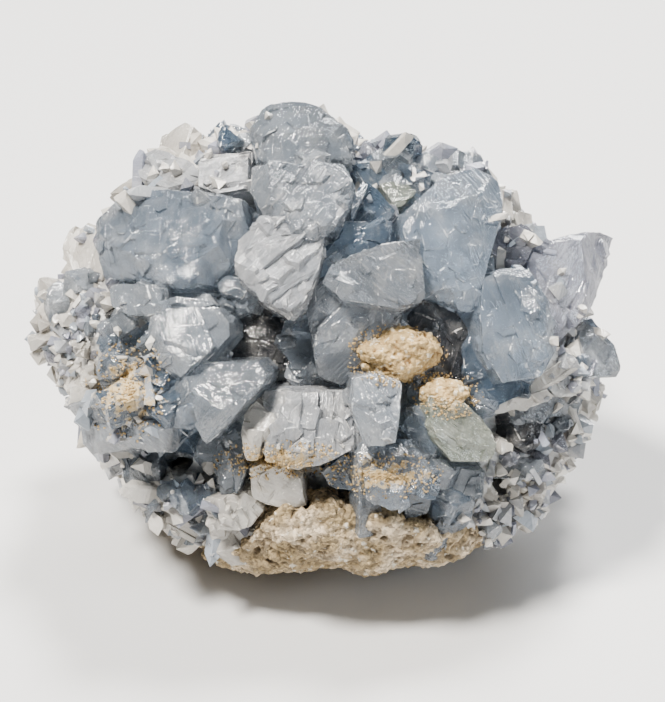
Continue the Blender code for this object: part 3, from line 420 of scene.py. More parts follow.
# Growth steps: how high they are, how far from the middle as a share of the crystal's reach, how
# far they draw the sides in, and the slope of the risers.
STEP_RISE = (0.3, 1.2)
STEP_SPREAD = 0.75
SIDE_STEPS = (0.0, 0.5)
RISER_SLOPES = (0.0, 0.5)

# Chips at corners: how many, how deep and how far they tilt. Narrow worn flats along edges:
# which share of the edges has one, how wide they are, how far they tilt and how sharp an edge
# has to be. The flats are painted white, partly as wear and partly as painted highlight on the
# ridges.
CHIPS = 4
SEEDED_CHIPS = 3
CHIP_DEPTHS = (0.3, 1.2)
CHIP_TILT = 0.5
WORN_AND_HIGHLIT = "worn_and_highlit"
WORN_SHARE = 0.5
WORN_WIDTHS = (0.1, 0.45)
WORN_TILT = 0.02
WORN_ANGLE = math.radians(18.0)

# The clear crystals' faces are divided until no edge is longer than this, and then gently
# uneven. Their roots are cut off at this depth, out of sight inside the base.
LONGEST_EDGE = 2.2
MEND_ROUNDS = 6
ROOTS_DEPTH = 17.0

# Smaller crystals in the gaps between the large ones, one group to a line: how many are tried,
# lengths, share of the length that stands proud, how far from the middle as the eye sees it,
# and looks.
FILLERS = (
    (420, (15.0, 25.0), (0.3, 0.55), 54.0, ("grey", "blue", "pale", "deep", "lined", "grey")),
    (420, (9.0, 17.0), (0.25, 0.55), 54.0, ("grey", "blue", "dark", "deep", "pale", "grey")),
    (420, (5.0, 10.0), (0.3, 0.6), 62.0, ("grey", "pale", "white", "deep", "grey", "broken")),
    (900, (6.0, 12.0), (0.3, 0.55), 78.0, ("white", "pale", "lilac", "white", "broken", "grey")),
)
FILLER_SEED = 1000
FILLER_TILT = 0.6
FILLER_GAP = 1.0
FILLER_RIM_MARGIN = 3.0

# Low growths on the crystals' faces: how many are tried on the side that shows best and round
# the rest, how far from the middle, their sizes, how far they rise and go down, how far their
# tops lean, how many sides they have, and how uneven, how far out and how steep those are. A
# growth that stands out in the air is tried again at each smaller share of its size.
GROWTHS = 560
GROWTHS_AROUND = 300
GROWTH_SEED = 40000
GROWTH_SPREAD = 66.0
GROWTH_SIZES = (4.0, 13.0)
GROWTH_SHARES = (1.0, 0.7, 0.45)
GROWTH_RISE = (0.1, 0.8)
GROWTH_ROOT = 2.0
GROWTH_LEAN = 0.13
GROWTH_SIDES = (5, 7)
GROWTH_TURN = 0.2
GROWTH_REACH = (0.25, 0.5)
GROWTH_SLOPES = (0.1, 0.9)
GROWTH_OVERHANG = 1.1
GROWTH_LOWEST = 12.0
GROWTH_LEAST_CLEAR = 0.5

# Where sight lines towards the middle start, in metres, on the sides that the eye doesn't see.
OUTSIDE = 0.2

# The skins: voxel sizes and the triangles that are left.
BASE_VOXEL = 0.55
MATRIX_VOXEL = 0.5
SAND_VOXEL = 0.3
CRYSTAL_TRIANGLES = 190000
BASE_TRIANGLES = 190000
MATRIX_TRIANGLES = 150000
SAND_TRIANGLES = 24000

# The crystals' skin leaves room for these nodes, less a little, so that no gap shows.
LUMPS = ("sandy_lump_upper", "sandy_lump_lower")
ROOM_INSET = 0.8

# Small crystals on the side that shows best, one patch to a line: (right, up) of its middle, its
# half width and half height, how many crystals, and their sizes. More of them go round the rest.
DRUSE = (
    (-57, -4, 17, 22, 260, (2.4, 6.5)),
    (-55, -24, 12, 14, 120, (2.4, 6.5)),
    (-38, -42, 15, 9, 120, (2.2, 5.5)),
    (-20, -48, 14, 8, 100, (2.0, 5.0)),
    (45, -40, 15, 10, 130, (2.0, 6.0)),
    (60, -20, 9, 15, 120, (2.0, 6.0)),
    (-36, 47, 20, 9, 100, (2.4, 6.0)),
    (60, 0, 12, 14, 60, (2.0, 5.0)),
    (-8, -28, 22, 8, 60, (1.0, 2.4)),
    (48, 30, 9, 12, 60, (2.0, 5.0)),
    (16, 38, 12, 6, 60, (2.0, 5.0)),
)
DRUSE_AROUND = 5600
DRUSE_AROUND_SIZES = (3.0, 10.0)
DRUSE_AROUND_FRONT = 0.5
DRUSE_SEED = 5
DRUSE_LOOKS = ("white", "white", "white", "pale", "broken", "lilac")
DRUSE_SCALES = (0.6, 1.0)
DRUSE_TILT = 0.8
DRUSE_SINK = 0.45
DRUSE_RIM_MARGIN = 5.5
DRUSE_CLEARANCE = 1.0

# Druse mostly keeps off the clear crystals: what counts as clear, and the share that stays.
DRUSE_CLEAR_LIMIT = 0.4
DRUSE_STAYS = 0.12
DRUSE_AROUND_STAYS = 0.2

# The small crystals that druse is made of copies of, all of one length.
TEMPLATES = 8
TEMPLATE_LENGTH = 10.0
TEMPLATE_WIDTHS = (0.45, 0.8)
TEMPLATE_THICKNESSES = (0.35, 0.6)
TEMPLATE_CHIP_DEPTHS = (0.4, 1.2)

# Loose sand on the crystals and in their joints, one patch to a line: (right, up) of its
# middle, its half width and half height, how many grains, and their sizes. Then the steepest
# face they lie on, their shapes, how far they stand off, and how far dust reaches round them.
CRUMBS = (
    (17, -3, 13, 8, 900, (0.2, 0.6)),
    (30, -13, 9, 6, 500, (0.2, 0.6)),
    (-50, -12, 11, 14, 500, (0.2, 0.6)),
    (-12, -29, 18, 5, 600, (0.2, 0.6)),
    (14, -33, 15, 6, 500, (0.2, 0.6)),
)
CRUMBS_SEED = 17
CRUMB_STEEPEST = -0.1
CRUMB_RADIUS = 0.6
CRUMB_SHAPES = (0.6, 1.2)
CRUMB_TURNS = (0.0, 3.0)
CRUMB_ROUGHNESS = 0.35
CRUMB_NOISE = 3.0
CRUMB_LIFT = 0.25
CRUMB_HEIGHT = 0.3
DUST_REACH = 1.3

# The base lies deeper under the crystals that face the eye: where that starts and is full, as
# shares of the way round to the eye, and how much deeper it is. There it is also mixed towards a
# darker blue-grey, partly the crystals' tone and partly painted shade in the gaps between them:
# that colour, and how much of it.
BASE_FRONT_START = 0.25
BASE_FRONT_FULL = 0.6
BASE_FRONT_DEPTH = 9.0
BASE_FRONT_TINT_AND_SHADE = (0.30, 0.35, 0.41)
BASE_FRONT_SHADE_SHARE = 0.8

# The base lies well inside the matrix: how much deeper, and over which height that starts.
UNDER_MATRIX_DEPTH = 5.0
UNDER_MATRIX_RUN = 5.0

# Broken surfaces: how big the flakes are and how their outlines are warped, and how far the
# flakes, their edges and the fine grain stand out.
FLAKE_SIZE = 3.2
FLAKE_WARP = 1.5
FLAKE_WARP_SIZE = 3.0
FLAKE_STEP = 3.7
FLAKE_HEIGHT = 0.8
FLAKE_EDGE = 0.6
FLAKE_GRAIN = 0.18
FLAKE_GRAIN_SIZE = 0.7

# Faces of clear crystals: heights and sizes of their swells and ripples, the height of their
# growth ridges, and the sizes of these across and along.
SWELLS = ((0.3, 8.0), (0.13, 2.4))
RIDGE_HEIGHT = 0.22
RIDGE_SIZE = 1.7
RIDGE_DRIFT = 0.04

# Patches of clear crystal that are flaky: their size, where they start and how deep they are.
FLAKY_SIZE = 7.0
FLAKY_START = -0.1
FLAKY_RANGE = 0.25
FLAKY_DEPTH = 0.42
LEAST_BROKEN = 0.03

# Sandy relief: the sizes of its grains and knobs, and how far they and their parts stand out.
SANDY_CELL_SIZE = 1.3
SANDY_FINE_SIZE = 0.8
SANDY_KNOB_SIZES = (5.0, 2.9, 1.6)
SANDY_FINE = 0.6
SANDY_CREASES = 1.3
SANDY_GRAIN = 0.8
SANDY_KNOB = 0.7

# Its pits: their size, how widespread they are and where the noise is read. The matrix and the
# lumps each have the pits' depth and the strength of the whole relief. The matrix stays flat
# where it rests on the floor, up to this height.
PIT_SIZE = 3.1
PIT_LEVEL = 0.12
PIT_PLACE = Vector((7.0, 3.0, 1.0))
MATRIX_PITS, MATRIX_STRENGTH = 2.2, 1.0
SAND_PITS, SAND_STRENGTH = 1.2, 0.8
FLAT_HEIGHT = 0.25

# How far the pieces stay inside the model's own box, which faces count as sharp, and which
# points stand out enough to be painted white, partly as wear and partly as painted highlight.
BOX_MARGIN = 0.02
SHARP_ANGLE = math.radians(24.0)
WEAR_HIGHLIGHT_START = 0.1
WEAR_HIGHLIGHT_RANGE = 0.4

DETAIL_SEED = 29

# How much light the crystals let through, and their index of refraction.
CRYSTAL_CLEARNESS = 0.85
DRUSE_CLEARNESS = 0.5
CELESTITE_IOR = 1.62

# The fine streaks on a crystal's faces: how close together, and how long.
STREAK_SQUEEZE = 1.4
STREAK_STRETCH = 0.16

# Colours that the celestite's own tints are mixed with, its warm white standing for the veil and
# for painted highlights, and those of the matrix and the sand.
VEIL_AND_HIGHLIGHT_COLOUR = (0.74, 0.71, 0.66)
STAIN_COLOUR = (0.45, 0.37, 0.24)
DUST_COLOUR = (0.50, 0.39, 0.23)
MATRIX_COLOURS = ((0.36, 0.28, 0.17), (0.60, 0.50, 0.37))
# The matrix's and the sand's pit colours are painted shade in their hollows.
MATRIX_PIT_SHADE_COLOUR = (0.12, 0.09, 0.055)
MATRIX_PALE_COLOUR = (0.70, 0.65, 0.56)
SAND_COLOURS = ((0.38, 0.27, 0.14), (0.58, 0.43, 0.23))
SAND_PIT_SHADE_COLOUR = (0.2, 0.12, 0.05)
SAND_PALE_COLOUR = (0.66, 0.58, 0.44)

# The photograph's frame, its scale at the view centre and the pixel of that centre.
IMAGE_WIDTH = 665
IMAGE_HEIGHT = 702
PIXELS_PER_MM = 4.0
CENTRE_PIXEL = (328, 344)
SENSOR_WIDTH = 36.0
NEAREST_SEEN = 0.01

# The studio: each light's place, size, power and colour, the point they look at, and the rest.
LIGHTS = (
    ("key", (-0.75, -0.55, 1.9), 0.45, 95.0, (1.0, 0.96, 0.9)),
    ("fill", (1.5, -1.0, 0.9), 0.8, 14.0, (0.9, 0.95, 1.0)),
    ("top", (0.3, 0.5, 1.9), 0.5, 45.0, (1.0, 0.98, 0.95)),
    ("back", (0.5, 1.6, 0.9), 0.8, 22.0, (1.0, 1.0, 1.0)),
)
LIGHTS_AIM = Vector((0.0, 0.0, 0.05))
WORLD_COLOUR = (0.86, 0.88, 0.9, 1.0)
WORLD_STRENGTH = 0.14
EXPOSURE = -0.15
FLOOR_HALF_SIZE = 3.0
FLOOR_COLOUR = (0.66, 0.66, 0.66)

VIEW_RIGHT = Vector((1.0, 0.0, 0.0))
VIEW_UP = Vector((0.0, math.sin(VIEW_ELEVATION), math.cos(VIEW_ELEVATION)))
VIEW_TOWARD = Vector((0.0, -math.cos(VIEW_ELEVATION), math.sin(VIEW_ELEVATION)))


def from_view(right, up, toward):
    """World point, in metres, of a place in the sloping frame."""
    return (Vector(VIEW_CENTRE) + VIEW_RIGHT * right + VIEW_UP * up + VIEW_TOWARD * toward) * MM


def view_direction(right, up, toward):
    """World direction of a direction in the sloping frame."""
    return (VIEW_RIGHT * right + VIEW_UP * up + VIEW_TOWARD * toward).normalized()


EYE = from_view(0.0, 0.0, VIEW_DISTANCE)
CENTRE = from_view(0.0, 0.0, 0.0)


def face_planes(toward, faces):
    """Each face as a world point and an outward normal."""
    first_right, first_up, fall_right, fall_up = faces[0]
    planes = []
    for right, up, falls_right, falls_up in faces:
        on_first = toward - fall_right * (right - first_right) - fall_up * (up - first_up)
        shrink = 1.0 - on_first / VIEW_DISTANCE
        point = from_view(right * shrink, up * shrink, on_first)
        planes.append((point, view_direction(falls_right, falls_up, 1.0)))
    return planes


def corner_on_faces(right, up, planes):
    """Where the sight line through an outline corner meets the crystal's faces."""
    ray = from_view(right, up, 0.0) - EYE
    reach = max((point - EYE).dot(normal) / ray.dot(normal) for point, normal in planes)
    return EYE + ray * reach


def outline_middle(outline):
    right = sum(corner[0] for corner in outline) / len(outline)
    up = sum(corner[1] for corner in outline) / len(outline)
    return right, up


def corner_faces(outline, first_face, source):
    """Steeper faces that cut off some corners of an outline, chosen at random."""
    middle_right, middle_up = outline_middle(outline)
    extra = []
    for right, up in source.sample(outline, CORNER_FACES):
        out_right, out_up = right - middle_right, up - middle_up
        reach = math.hypot(out_right, out_up)
        start = 1.0 - source.uniform(*CORNER_FACE_START)
        fall = source.uniform(*CORNER_FACE_FALL)
        extra.append((
            middle_right + out_right * start, middle_up + out_up * start,
            first_face[2] + fall * out_right / reach, first_face[3] + fall * out_up / reach))
    return extra


def smooth_step(value):
    value = min(1.0, max(0.0, value))
    return value * value * (3.0 - 2.0 * value)


def rim_half_width(angle):
    """The body's half width at an angle round the view axis, smoothed between the given ones."""
    step = FULL_TURN / len(BODY_RIM)
    place = (angle % FULL_TURN) / step
    index = int(place)
    blend = smooth_step(place - index)
    low = BODY_RIM[index % len(BODY_RIM)]
    high = BODY_RIM[(index + 1) % len(BODY_RIM)]
    return low + (high - low) * blend


def body_reach(direction):
    """How far the smooth body reaches from the view centre along a unit view direction."""
    right, up, toward = direction
    across = math.hypot(right, up) / rim_half_width(math.atan2(up, right))
    along = abs(toward) / (BODY_FRONT if toward > 0.0 else BODY_BACK)
    return (across ** BODY_ROUNDNESS + along ** BODY_ROUNDNESS) ** (-1.0 / BODY_ROUNDNESS)


def crust_relief(direction):
    """Height of the crust's relief: broad swells, cobbly knobs with creases, and grains."""
    where = direction + CRUST_PLACE
    swell_height, knob_height, grain_height = CRUST_RELIEF
    nearest = noise.voronoi(where / KNOB_SIZE)[0][0]
    return (swell_height * noise.noise(where / SWELL_SIZE)
            + knob_height * (KNOB_LEVEL - nearest)
            + grain_height * noise.noise(where / GRAIN_SIZE))


def body_solid(subdivisions, grow):
    """The lumpy body as a closed mesh, every vertex moved outwards by `grow`."""
    solid = bmesh.new()
    bmesh.ops.create_icosphere(solid, subdivisions=subdivisions, radius=1.0)
    sideways = SIDEWAYS * 0.5 ** (subdivisions - 1)
    for vertex in solid.verts:
        spread = Vector([
            noise.noise(vertex.co / SIDEWAYS_SIZE + place) for place in SIDEWAYS_PLACES])
        direction = (vertex.co + spread * sideways).normalized()
        reach = body_reach(direction) + grow + crust_relief(direction)
        vertex.co = from_view(*(direction * reach))
    return solid


def matrix_top(x, y):
    """Height of the boundary between matrix and crystals."""
    across = math.exp(-((x - MATRIX_HUMP_CENTRE) / MATRIX_HUMP_HALF_WIDTH) ** 4)
    hump = across * smooth_step((MATRIX_HUMP_START - y) / MATRIX_HUMP_RUN)
    back = smooth_step((y - MATRIX_BACK_START) / MATRIX_BACK_RUN)
    wave = noise.noise(Vector((x, y, 0.0)) / MATRIX_TOP_WAVE_SIZE + MATRIX_TOP_PLACE)
    return (MATRIX_LEVEL + MATRIX_FRONT_HUMP * hump + MATRIX_BACK_RISE * back
            + MATRIX_TOP_WAVE * wave)


def near_matrix(point, clearance=BOUNDARY_CLEARANCE):
    """Whether a world point lies in the matrix or just above it."""
    x, y, z = point / MM
    return z < matrix_top(x, y) + clearance


def random_direction(source):
    """A unit direction spread evenly over the sphere."""
    toward = source.uniform(-1.0, 1.0)
    angle = source.uniform(0.0, FULL_TURN)
    across = math.sqrt(1.0 - toward * toward)
    return Vector((across * math.cos(angle), across * math.sin(angle), toward))


def random_vector(source, reach):
    return Vector([source.uniform(-reach, reach) for _ in range(3)])


def in_pocket(right, up):
    return any(abs(right - pocket[0]) < pocket[2] + POCKET_CLEARANCE
               and abs(up - pocket[1]) < pocket[3] + POCKET_CLEARANCE for pocket in POCKETS)


def as_seen(point):
    """Right and up of a world point at the view centre's depth, as the eye sees it."""
    offset = point / MM - Vector(VIEW_CENTRE)
    shrink = 1.0 - offset.dot(VIEW_TOWARD) / VIEW_DISTANCE
    return offset.dot(VIEW_RIGHT) / shrink, offset.dot(VIEW_UP) / shrink


def inside_rim(point, margin):
    """Whether a world point stays within the body's outline as the eye sees it."""
    right, up = as_seen(point)
    return math.hypot(right, up) < rim_half_width(math.atan2(up, right)) + margin


def sight_line(right, up, half_width, half_height, angle, share):
    """Direction from the eye to a place in an oval patch."""
    target = from_view(right + half_width * share * math.cos(angle),
                       up + half_height * share * math.sin(angle), 0.0)
    return (target - EYE).normalized()


def seeded_crystals(source):
    """Crystals that fill the gaps and rims, and cover the crust where the view doesn't reach."""
    solids = []
    for count, lengths, proud, zone, margin, spacing in SEEDED:
        places = []
        for _ in range(SEED_TRIES):
            if len(places) == count:
                break
            direction = random_direction(source)
            length = source.uniform(*lengths)
            share_proud = source.uniform(*proud)
            tilt = random_vector(source, CRYSTAL_TILT)
            turn = source.uniform(0.0, math.pi)
            width = length * source.uniform(*CRYSTAL_WIDTHS)
            thickness = length * source.uniform(*CRYSTAL_THICKNESSES)
            if not zone[0] < direction.z < zone[1]:
                continue
            place = direction * body_reach(direction)
            if direction.z > 0.0 and in_pocket(place.x, place.y):
                continue
            surface = from_view(*place)
            if near_matrix(surface):
                continue
            if any((surface - other).length < spacing * MM for other in places):
                continue
            axis = (view_direction(*direction) + tilt).normalized()
            base = surface - axis * length * (1.0 - share_proud) * MM
            if not inside_rim(base + axis * length * MM, margin):
                continue
            places.append(surface)
            solids.append(celestine_crystal(
                base, axis, turn, length * MM, width * MM, thickness * MM))
    return solids


def cut_away(solid, point, normal, worn_and_highlit=0):
    """Cut off what lies on the side that the normal points to, and close the cut."""
    parts = solid.verts[:] + solid.edges[:] + solid.faces[:]
    result = bmesh.ops.bisect_plane(
        solid, geom=parts, dist=1e-7, plane_co=point, plane_no=normal, clear_outer=True)
    rim = [part for part in result["geom_cut"] if isinstance(part, bmesh.types.BMEdge)]
    if len(rim) >= 3:
        for face in bmesh.ops.contextual_create(solid, geom=rim)["faces"]:
            face[solid.faces.layers.int[WORN_AND_HIGHLIT]] = worn_and_highlit


def blank(centre):
    """A big cube that a crystal is cut from."""
    solid = bmesh.new()
    solid.faces.layers.int.new(WORN_AND_HIGHLIT)
    bmesh.ops.create_cube(
        solid, size=2.0 * BLANK_HALF_SIZE * MM, matrix=Matrix.Translation(centre))
    return solid


def convex(middle, planes):
    """The solid behind all of the planes."""
    solid = blank(middle)
    for point, normal in planes:
        cut_away(solid, point, normal)
    return solid


def chip(solid, source, count, depths=CHIP_DEPTHS):
    """Break small pieces off some corners."""
    for _ in range(count):
        if len(solid.verts) < 4:
            return
        middle = sum((vertex.co for vertex in solid.verts), Vector()) / len(solid.verts)
        corner = source.choice(list(solid.verts)).co.copy()
        outward = (corner - middle).normalized() + random_vector(source, CHIP_TILT)
        outward.normalize()
        cut_away(solid, corner - outward * source.uniform(*depths) * MM, outward)


def wear_edges(solid, source):
    """Rub narrow flats on some of the edges, marked to be painted white as wear and highlight."""
    bmesh.ops.recalc_face_normals(solid, faces=solid.faces[:])
    edges = [(edge.verts[0].co.lerp(edge.verts[1].co, 0.5),
              (edge.link_faces[0].normal + edge.link_faces[1].normal).normalized(),
              edge.calc_face_angle(0.0))
             for edge in solid.edges if len(edge.link_faces) == 2]
    for middle, outward, angle in edges:
        if source.random() < WORN_SHARE and angle > WORN_ANGLE:
            depth = source.uniform(*WORN_WIDTHS) * 0.5 * math.tan(angle * 0.5)
            depth = min(depth, WORN_WIDTHS[1])
            tilted = (outward + random_vector(source, WORN_TILT)).normalized()
            cut_away(solid, middle - outward * depth * MM, tilted, 1)


def crystal_planes(toward, outline, faces, source):
    """A laid-out crystal's top faces, side faces, middle and axis."""
    planes = face_planes(toward, faces + corner_faces(outline, faces[0], source))
    corners = [corner_on_faces(right, up, planes) for right, up in outline]
    middle = sum(corners, Vector()) / len(corners)
    middle_right, middle_up = outline_middle(outline)
    lean = CRYSTAL_LEAN / max(BODY_RIM)
    axis = view_direction(middle_right * lean, middle_up * lean, 1.0)
    sides = []
    for index, corner in enumerate(corners):
        following = corners[(index + 1) % len(corners)]
        normal = (following - corner).cross(axis).normalized()
        if normal.dot(corner - middle) < 0.0:
            normal.negate()
        sides.append((max(corners, key=normal.dot), normal))
    sides.append((middle - axis * ROOT_DEPTH * MM, -axis))
    reach = max((corner - middle).length for corner in corners)
    return planes, sides, middle, reach


def stepped_crystal(planes, sides, middle, reach, along, source, steps):
    """Solids that together make the crystal, its first face in steps along a direction."""
    point, normal = planes[0]
    along = (along - normal * along.dot(normal)).normalized()
    heights = [source.uniform(*STEP_RISE) * MM for _ in range(steps)]
    places = sorted(source.uniform(-STEP_SPREAD, STEP_SPREAD) * reach for _ in range(steps))
    solids = []
    for step in range(steps + 1):
        lowered = (point - normal * sum(heights[step:]), normal)
        narrowed = [(place - side * source.uniform(*SIDE_STEPS) * MM, side)
                    for place, side in sides]
        cuts = [lowered] + planes[1:] + narrowed
        if step > 0:
            riser = (-along + normal * source.uniform(*RISER_SLOPES)).normalized()
            cuts.append((middle + along * places[step - 1], riser))
        solid = convex(middle, cuts)
        chip(solid, source, CHIPS)
        wear_edges(solid, source)
        solids.append(solid)
    return solids


class Heap:
    """Overlapping solids in one mesh, with a look number kept for every face."""

    def __init__(self):
        self.mesh = bmesh.new()
        self.look = self.mesh.faces.layers.int.new("look")
        self.worn_and_highlit = self.mesh.faces.layers.int.new(WORN_AND_HIGHLIT)

    def add(self, solid, look):
        vertices = [self.mesh.verts.new(vertex.co) for vertex in solid.verts]
        solid.verts.index_update()
        worn_and_highlit = solid.faces.layers.int.get(WORN_AND_HIGHLIT)
        for face in solid.faces:
            new = self.mesh.faces.new([vertices[vertex.index] for vertex in face.verts])
            new[self.look] = look
            new[self.worn_and_highlit] = face[worn_and_highlit] if worn_and_highlit else 0
        solid.free()

    def tree(self):
        """A tree for nearest faces, and each face's look."""
        self.mesh.faces.index_update()
        looks = np.array([face[self.look] for face in self.mesh.faces], dtype=np.int32)
        return BVHTree.FromBMesh(self.mesh), looks


def object_from(name, source):
    """Make an object of a bmesh, which is freed."""
    mesh = bpy.data.meshes.new(name)
    source.to_mesh(mesh)
    source.free()
    item = bpy.data.objects.new(name, mesh)
    bpy.context.scene.collection.objects.link(item)
    return item


def apply_modifier(item, kind, **settings):
    modifier = item.modifiers.new("made", kind)
    for key, value in settings.items():
        setattr(modifier, key, value)
    depsgraph = bpy.context.evaluated_depsgraph_get()
    mesh = bpy.data.meshes.new_from_object(item.evaluated_get(depsgraph))
    item.modifiers.clear()
    old = item.data
    item.data = mesh
    bpy.data.meshes.remove(old)


def fuse(item, voxel):
    """Turn overlapping solids into one skin."""
    apply_modifier(item, "REMESH", mode="VOXEL", voxel_size=voxel * MM, adaptivity=0.0)


def lighten(item, triangles):
    """Leave out points where the skin is flat."""
    have = sum(len(polygon.vertices) - 2 for polygon in item.data.polygons)
    if have > triangles:
        apply_modifier(item, "DECIMATE", ratio=triangles / have,
                       use_collapse_triangulate=True)


def vertex_arrays(mesh):
    count = len(mesh.vertices)
    points = np.empty(count * 3, dtype=np.float32)
    normals = np.empty(count * 3, dtype=np.float32)
    mesh.vertices.foreach_get("co", points)
    mesh.vertex_normals.foreach_get("vector", normals)
    return points.reshape(-1, 3).astype(float), normals.reshape(-1, 3).astype(float)


def convexity(mesh):
    """How sharply each point stands out, from the normals at the ends of its edges."""
    points, normals = vertex_arrays(mesh)
    ends = np.empty(len(mesh.edges) * 2, dtype=np.int32)
    mesh.edges.foreach_get("vertices", ends)
    start, end = ends.reshape(-1, 2).T
    away = points[end] - points[start]
    bend = np.einsum("ij,ij->i", normals[end] - normals[start], away)
    bend /= np.maximum(np.einsum("ij,ij->i", away, away), 1e-12) ** 0.5
    total = np.zeros(len(points))
    weight = np.zeros(len(points))
    for index in (start, end):
        np.add.at(total, index, bend)
        np.add.at(weight, index, 1.0)
    return total / np.maximum(weight, 1.0)


def set_values(mesh, name, values, domain="POINT", kind="FLOAT", field="value"):
    layer = mesh.attributes.new(name, kind, domain)
    layer.data.foreach_set(field, np.asarray(values, dtype=np.float32).ravel())


def boolean(item, others, operation):
    """Apply one Boolean of the item with all the others, which are then removed."""
    group = bpy.data.collections.new("operands")
    for other in others:
        group.objects.link(other)
    apply_modifier(item, "BOOLEAN", operation=operation, solver="MANIFOLD",
                   operand_type="COLLECTION", collection=group)
    for other in others:
        bpy.data.objects.remove(other, do_unlink=True)
    bpy.data.collections.remove(group)


def celestine_crystal(base, axis, turn, length, width, thickness):
    """One crystal of celestine's own habit, growing from `base` along `axis`."""
    side = axis.orthogonal().normalized()
    side.rotate(Matrix.Rotation(turn, 3, axis))
    flat = axis.cross(side)
    tip = base + axis * length
    middle = base + axis * length * 0.5
    solid = blank(middle)
    for sign in (1.0, -1.0):
        cut_away(solid, middle + flat * sign * thickness * 0.5, flat * sign)
        for other in (1.0, -1.0):
            normal = (flat * other * math.cos(SIDE_FACE_ANGLE)
                      + side * sign * math.sin(SIDE_FACE_ANGLE))
            cut_away(solid, middle + side * sign * width * 0.5, normal)
        wedge = axis * math.cos(WEDGE_FACE_ANGLE) + side * sign * math.sin(WEDGE_FACE_ANGLE)
        cut_away(solid, tip, wedge)
        if length > SMALLEST_WITH_SLOPES * MM:
            slope = axis * math.cos(SLOPE_FACE_ANGLE) + flat * sign * math.sin(SLOPE_FACE_ANGLE)
            cut_away(solid, tip - axis * thickness * SLOPE_START, slope)
    cut_away(solid, base - axis * CRYSTAL_FOOT * MM, -axis)
    return solid


class Kinds:
    """The look of every crystal, by number."""

    def __init__(self):
        self.tint, self.clear, self.rough, self.lined, self.grain = [], [], [], [], []

    def add(self, look, grain, source):
        tint, clear, rough, lined, _ = LOOKS[look]
        shade = source.uniform(*SHADES)
        self.tint.append([min(BRIGHTEST_TINT, channel * shade) for channel in tint] + [1.0])
        self.clear.append(clear)
        self.rough.append(rough)
        self.lined.append(lined)
        self.grain.append(tuple(grain.normalized()))
        return len(self.tint) - 1

    def dress(self, mesh, kinds, wear_and_highlight, domain):
        """Write the looks, given each point's or face's kind and its worn, highlit white."""
        set_values(mesh, "tint", np.array(self.tint)[kinds], domain, "FLOAT_COLOR", "color")
        set_values(mesh, "clear", np.array(self.clear)[kinds], domain)
        set_values(mesh, "broken", np.array(self.rough)[kinds], domain)
        set_values(mesh, "lined", np.array(self.lined)[kinds], domain)
        set_values(mesh, "grain", np.array(self.grain)[kinds], domain, "FLOAT_VECTOR", "vector")
        set_values(mesh, "wear_and_highlight", wear_and_highlight, domain)


def crystal_groups(kinds, source, detail):
    """Every crystal as a list of overlapping solids with its kind: clear ones, then rough."""
    clear, rough = [], []
    for look, *shape in CRYSTALS.values():
        planes, sides, middle, reach = crystal_planes(*shape, source)
        along = detail.choice(sides[:-1])[1]
        kind = kinds.add(look, along, detail)
        solids = stepped_crystal(planes, sides, middle, reach, along, detail, LOOKS[look][4])
        (rough if look in ROUGH_LOOKS else clear).append((kind, solids))
    for solid in seeded_crystals(source):
        chip(solid, detail, SEEDED_CHIPS)
        wear_edges(solid, detail)
        axis = random_vector(detail, 1.0)
        clear.append((kinds.add(detail.choice(SEEDED_LOOKS), axis, detail), [solid]))
    return clear, rough


def nearest_kinds(points, tree, face_kinds):
    return np.array([face_kinds[tree.find_nearest(point)[2]] for point in points])


def keep_in_box(points):
    """Points moved inside the model's own box."""
    low, high = np.array(cad_box[0]), np.array(cad_box[1])
    return np.clip(points, low + BOX_MARGIN * MM, high - BOX_MARGIN * MM)


def off_the_floor(points):
    """Points of the celestite, moved clear of the floor and inside the model's own box."""
    points[:, 2] = np.maximum(points[:, 2], CRUST_FLOOR_CLEARANCE * MM)
    return keep_in_box(points)


def put_points(mesh, points):
    mesh.vertices.foreach_set("co", np.asarray(points, dtype=np.float32).ravel())
    mesh.update()


def broken_relief(point):
    """Shape of a broken surface: flat flakes with steps between them, in millimetres."""
    where = Vector(point) / MM
    warp = Vector([noise.noise(where / FLAKE_WARP_SIZE + place) for place in SIDEWAYS_PLACES])
    distances, cells = noise.voronoi((where + warp * FLAKE_WARP) / FLAKE_SIZE)
    flake = noise.noise(cells[0] * FLAKE_STEP) * FLAKE_HEIGHT
    slope = (distances[1] - distances[0]) * FLAKE_EDGE
    fine = noise.noise(where / FLAKE_GRAIN_SIZE) * FLAKE_GRAIN
    return flake + slope + fine


def roughen(mesh, kinds, table):
    """Move the points of broken and massive crystals in and out."""
    points, normals = vertex_arrays(mesh)
    amount = np.array(table.rough)[kinds]
    for index in np.nonzero(amount > 0.0)[0]:
        points[index] += normals[index] * broken_relief(points[index]) * amount[index] * MM
    put_points(mesh, keep_in_box(points))


def pocket_cutters():
    """Tapered blocks that open the dark pockets in the body."""
    cutters = []
    for number, (right, up, half_width, half_height, bottom) in enumerate(POCKETS):
        solid = bmesh.new()
        for toward, share in ((POCKET_START, POCKET_TOP_SHARE), (bottom, POCKET_BOTTOM_SHARE)):
            shrink = 1.0 - toward / VIEW_DISTANCE
            for corner in range(POCKET_CORNERS):
                angle = math.radians(360.0 / POCKET_CORNERS * corner + POCKET_TURN * number)
                solid.verts.new(from_view(
                    (right + half_width * share * math.cos(angle)) * shrink,
                    (up + half_height * share * math.sin(angle)) * shrink, toward))
        bmesh.ops.convex_hull(solid, input=solid.verts[:])
        cutters.append(object_from(f"pocket_{number}", solid))
    return cutters


def copy_of_node(name, node):
    item = bpy.data.objects.new(name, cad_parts[node].data.copy())
    item.data.materials.clear()
    bpy.context.scene.collection.objects.link(item)
    return item


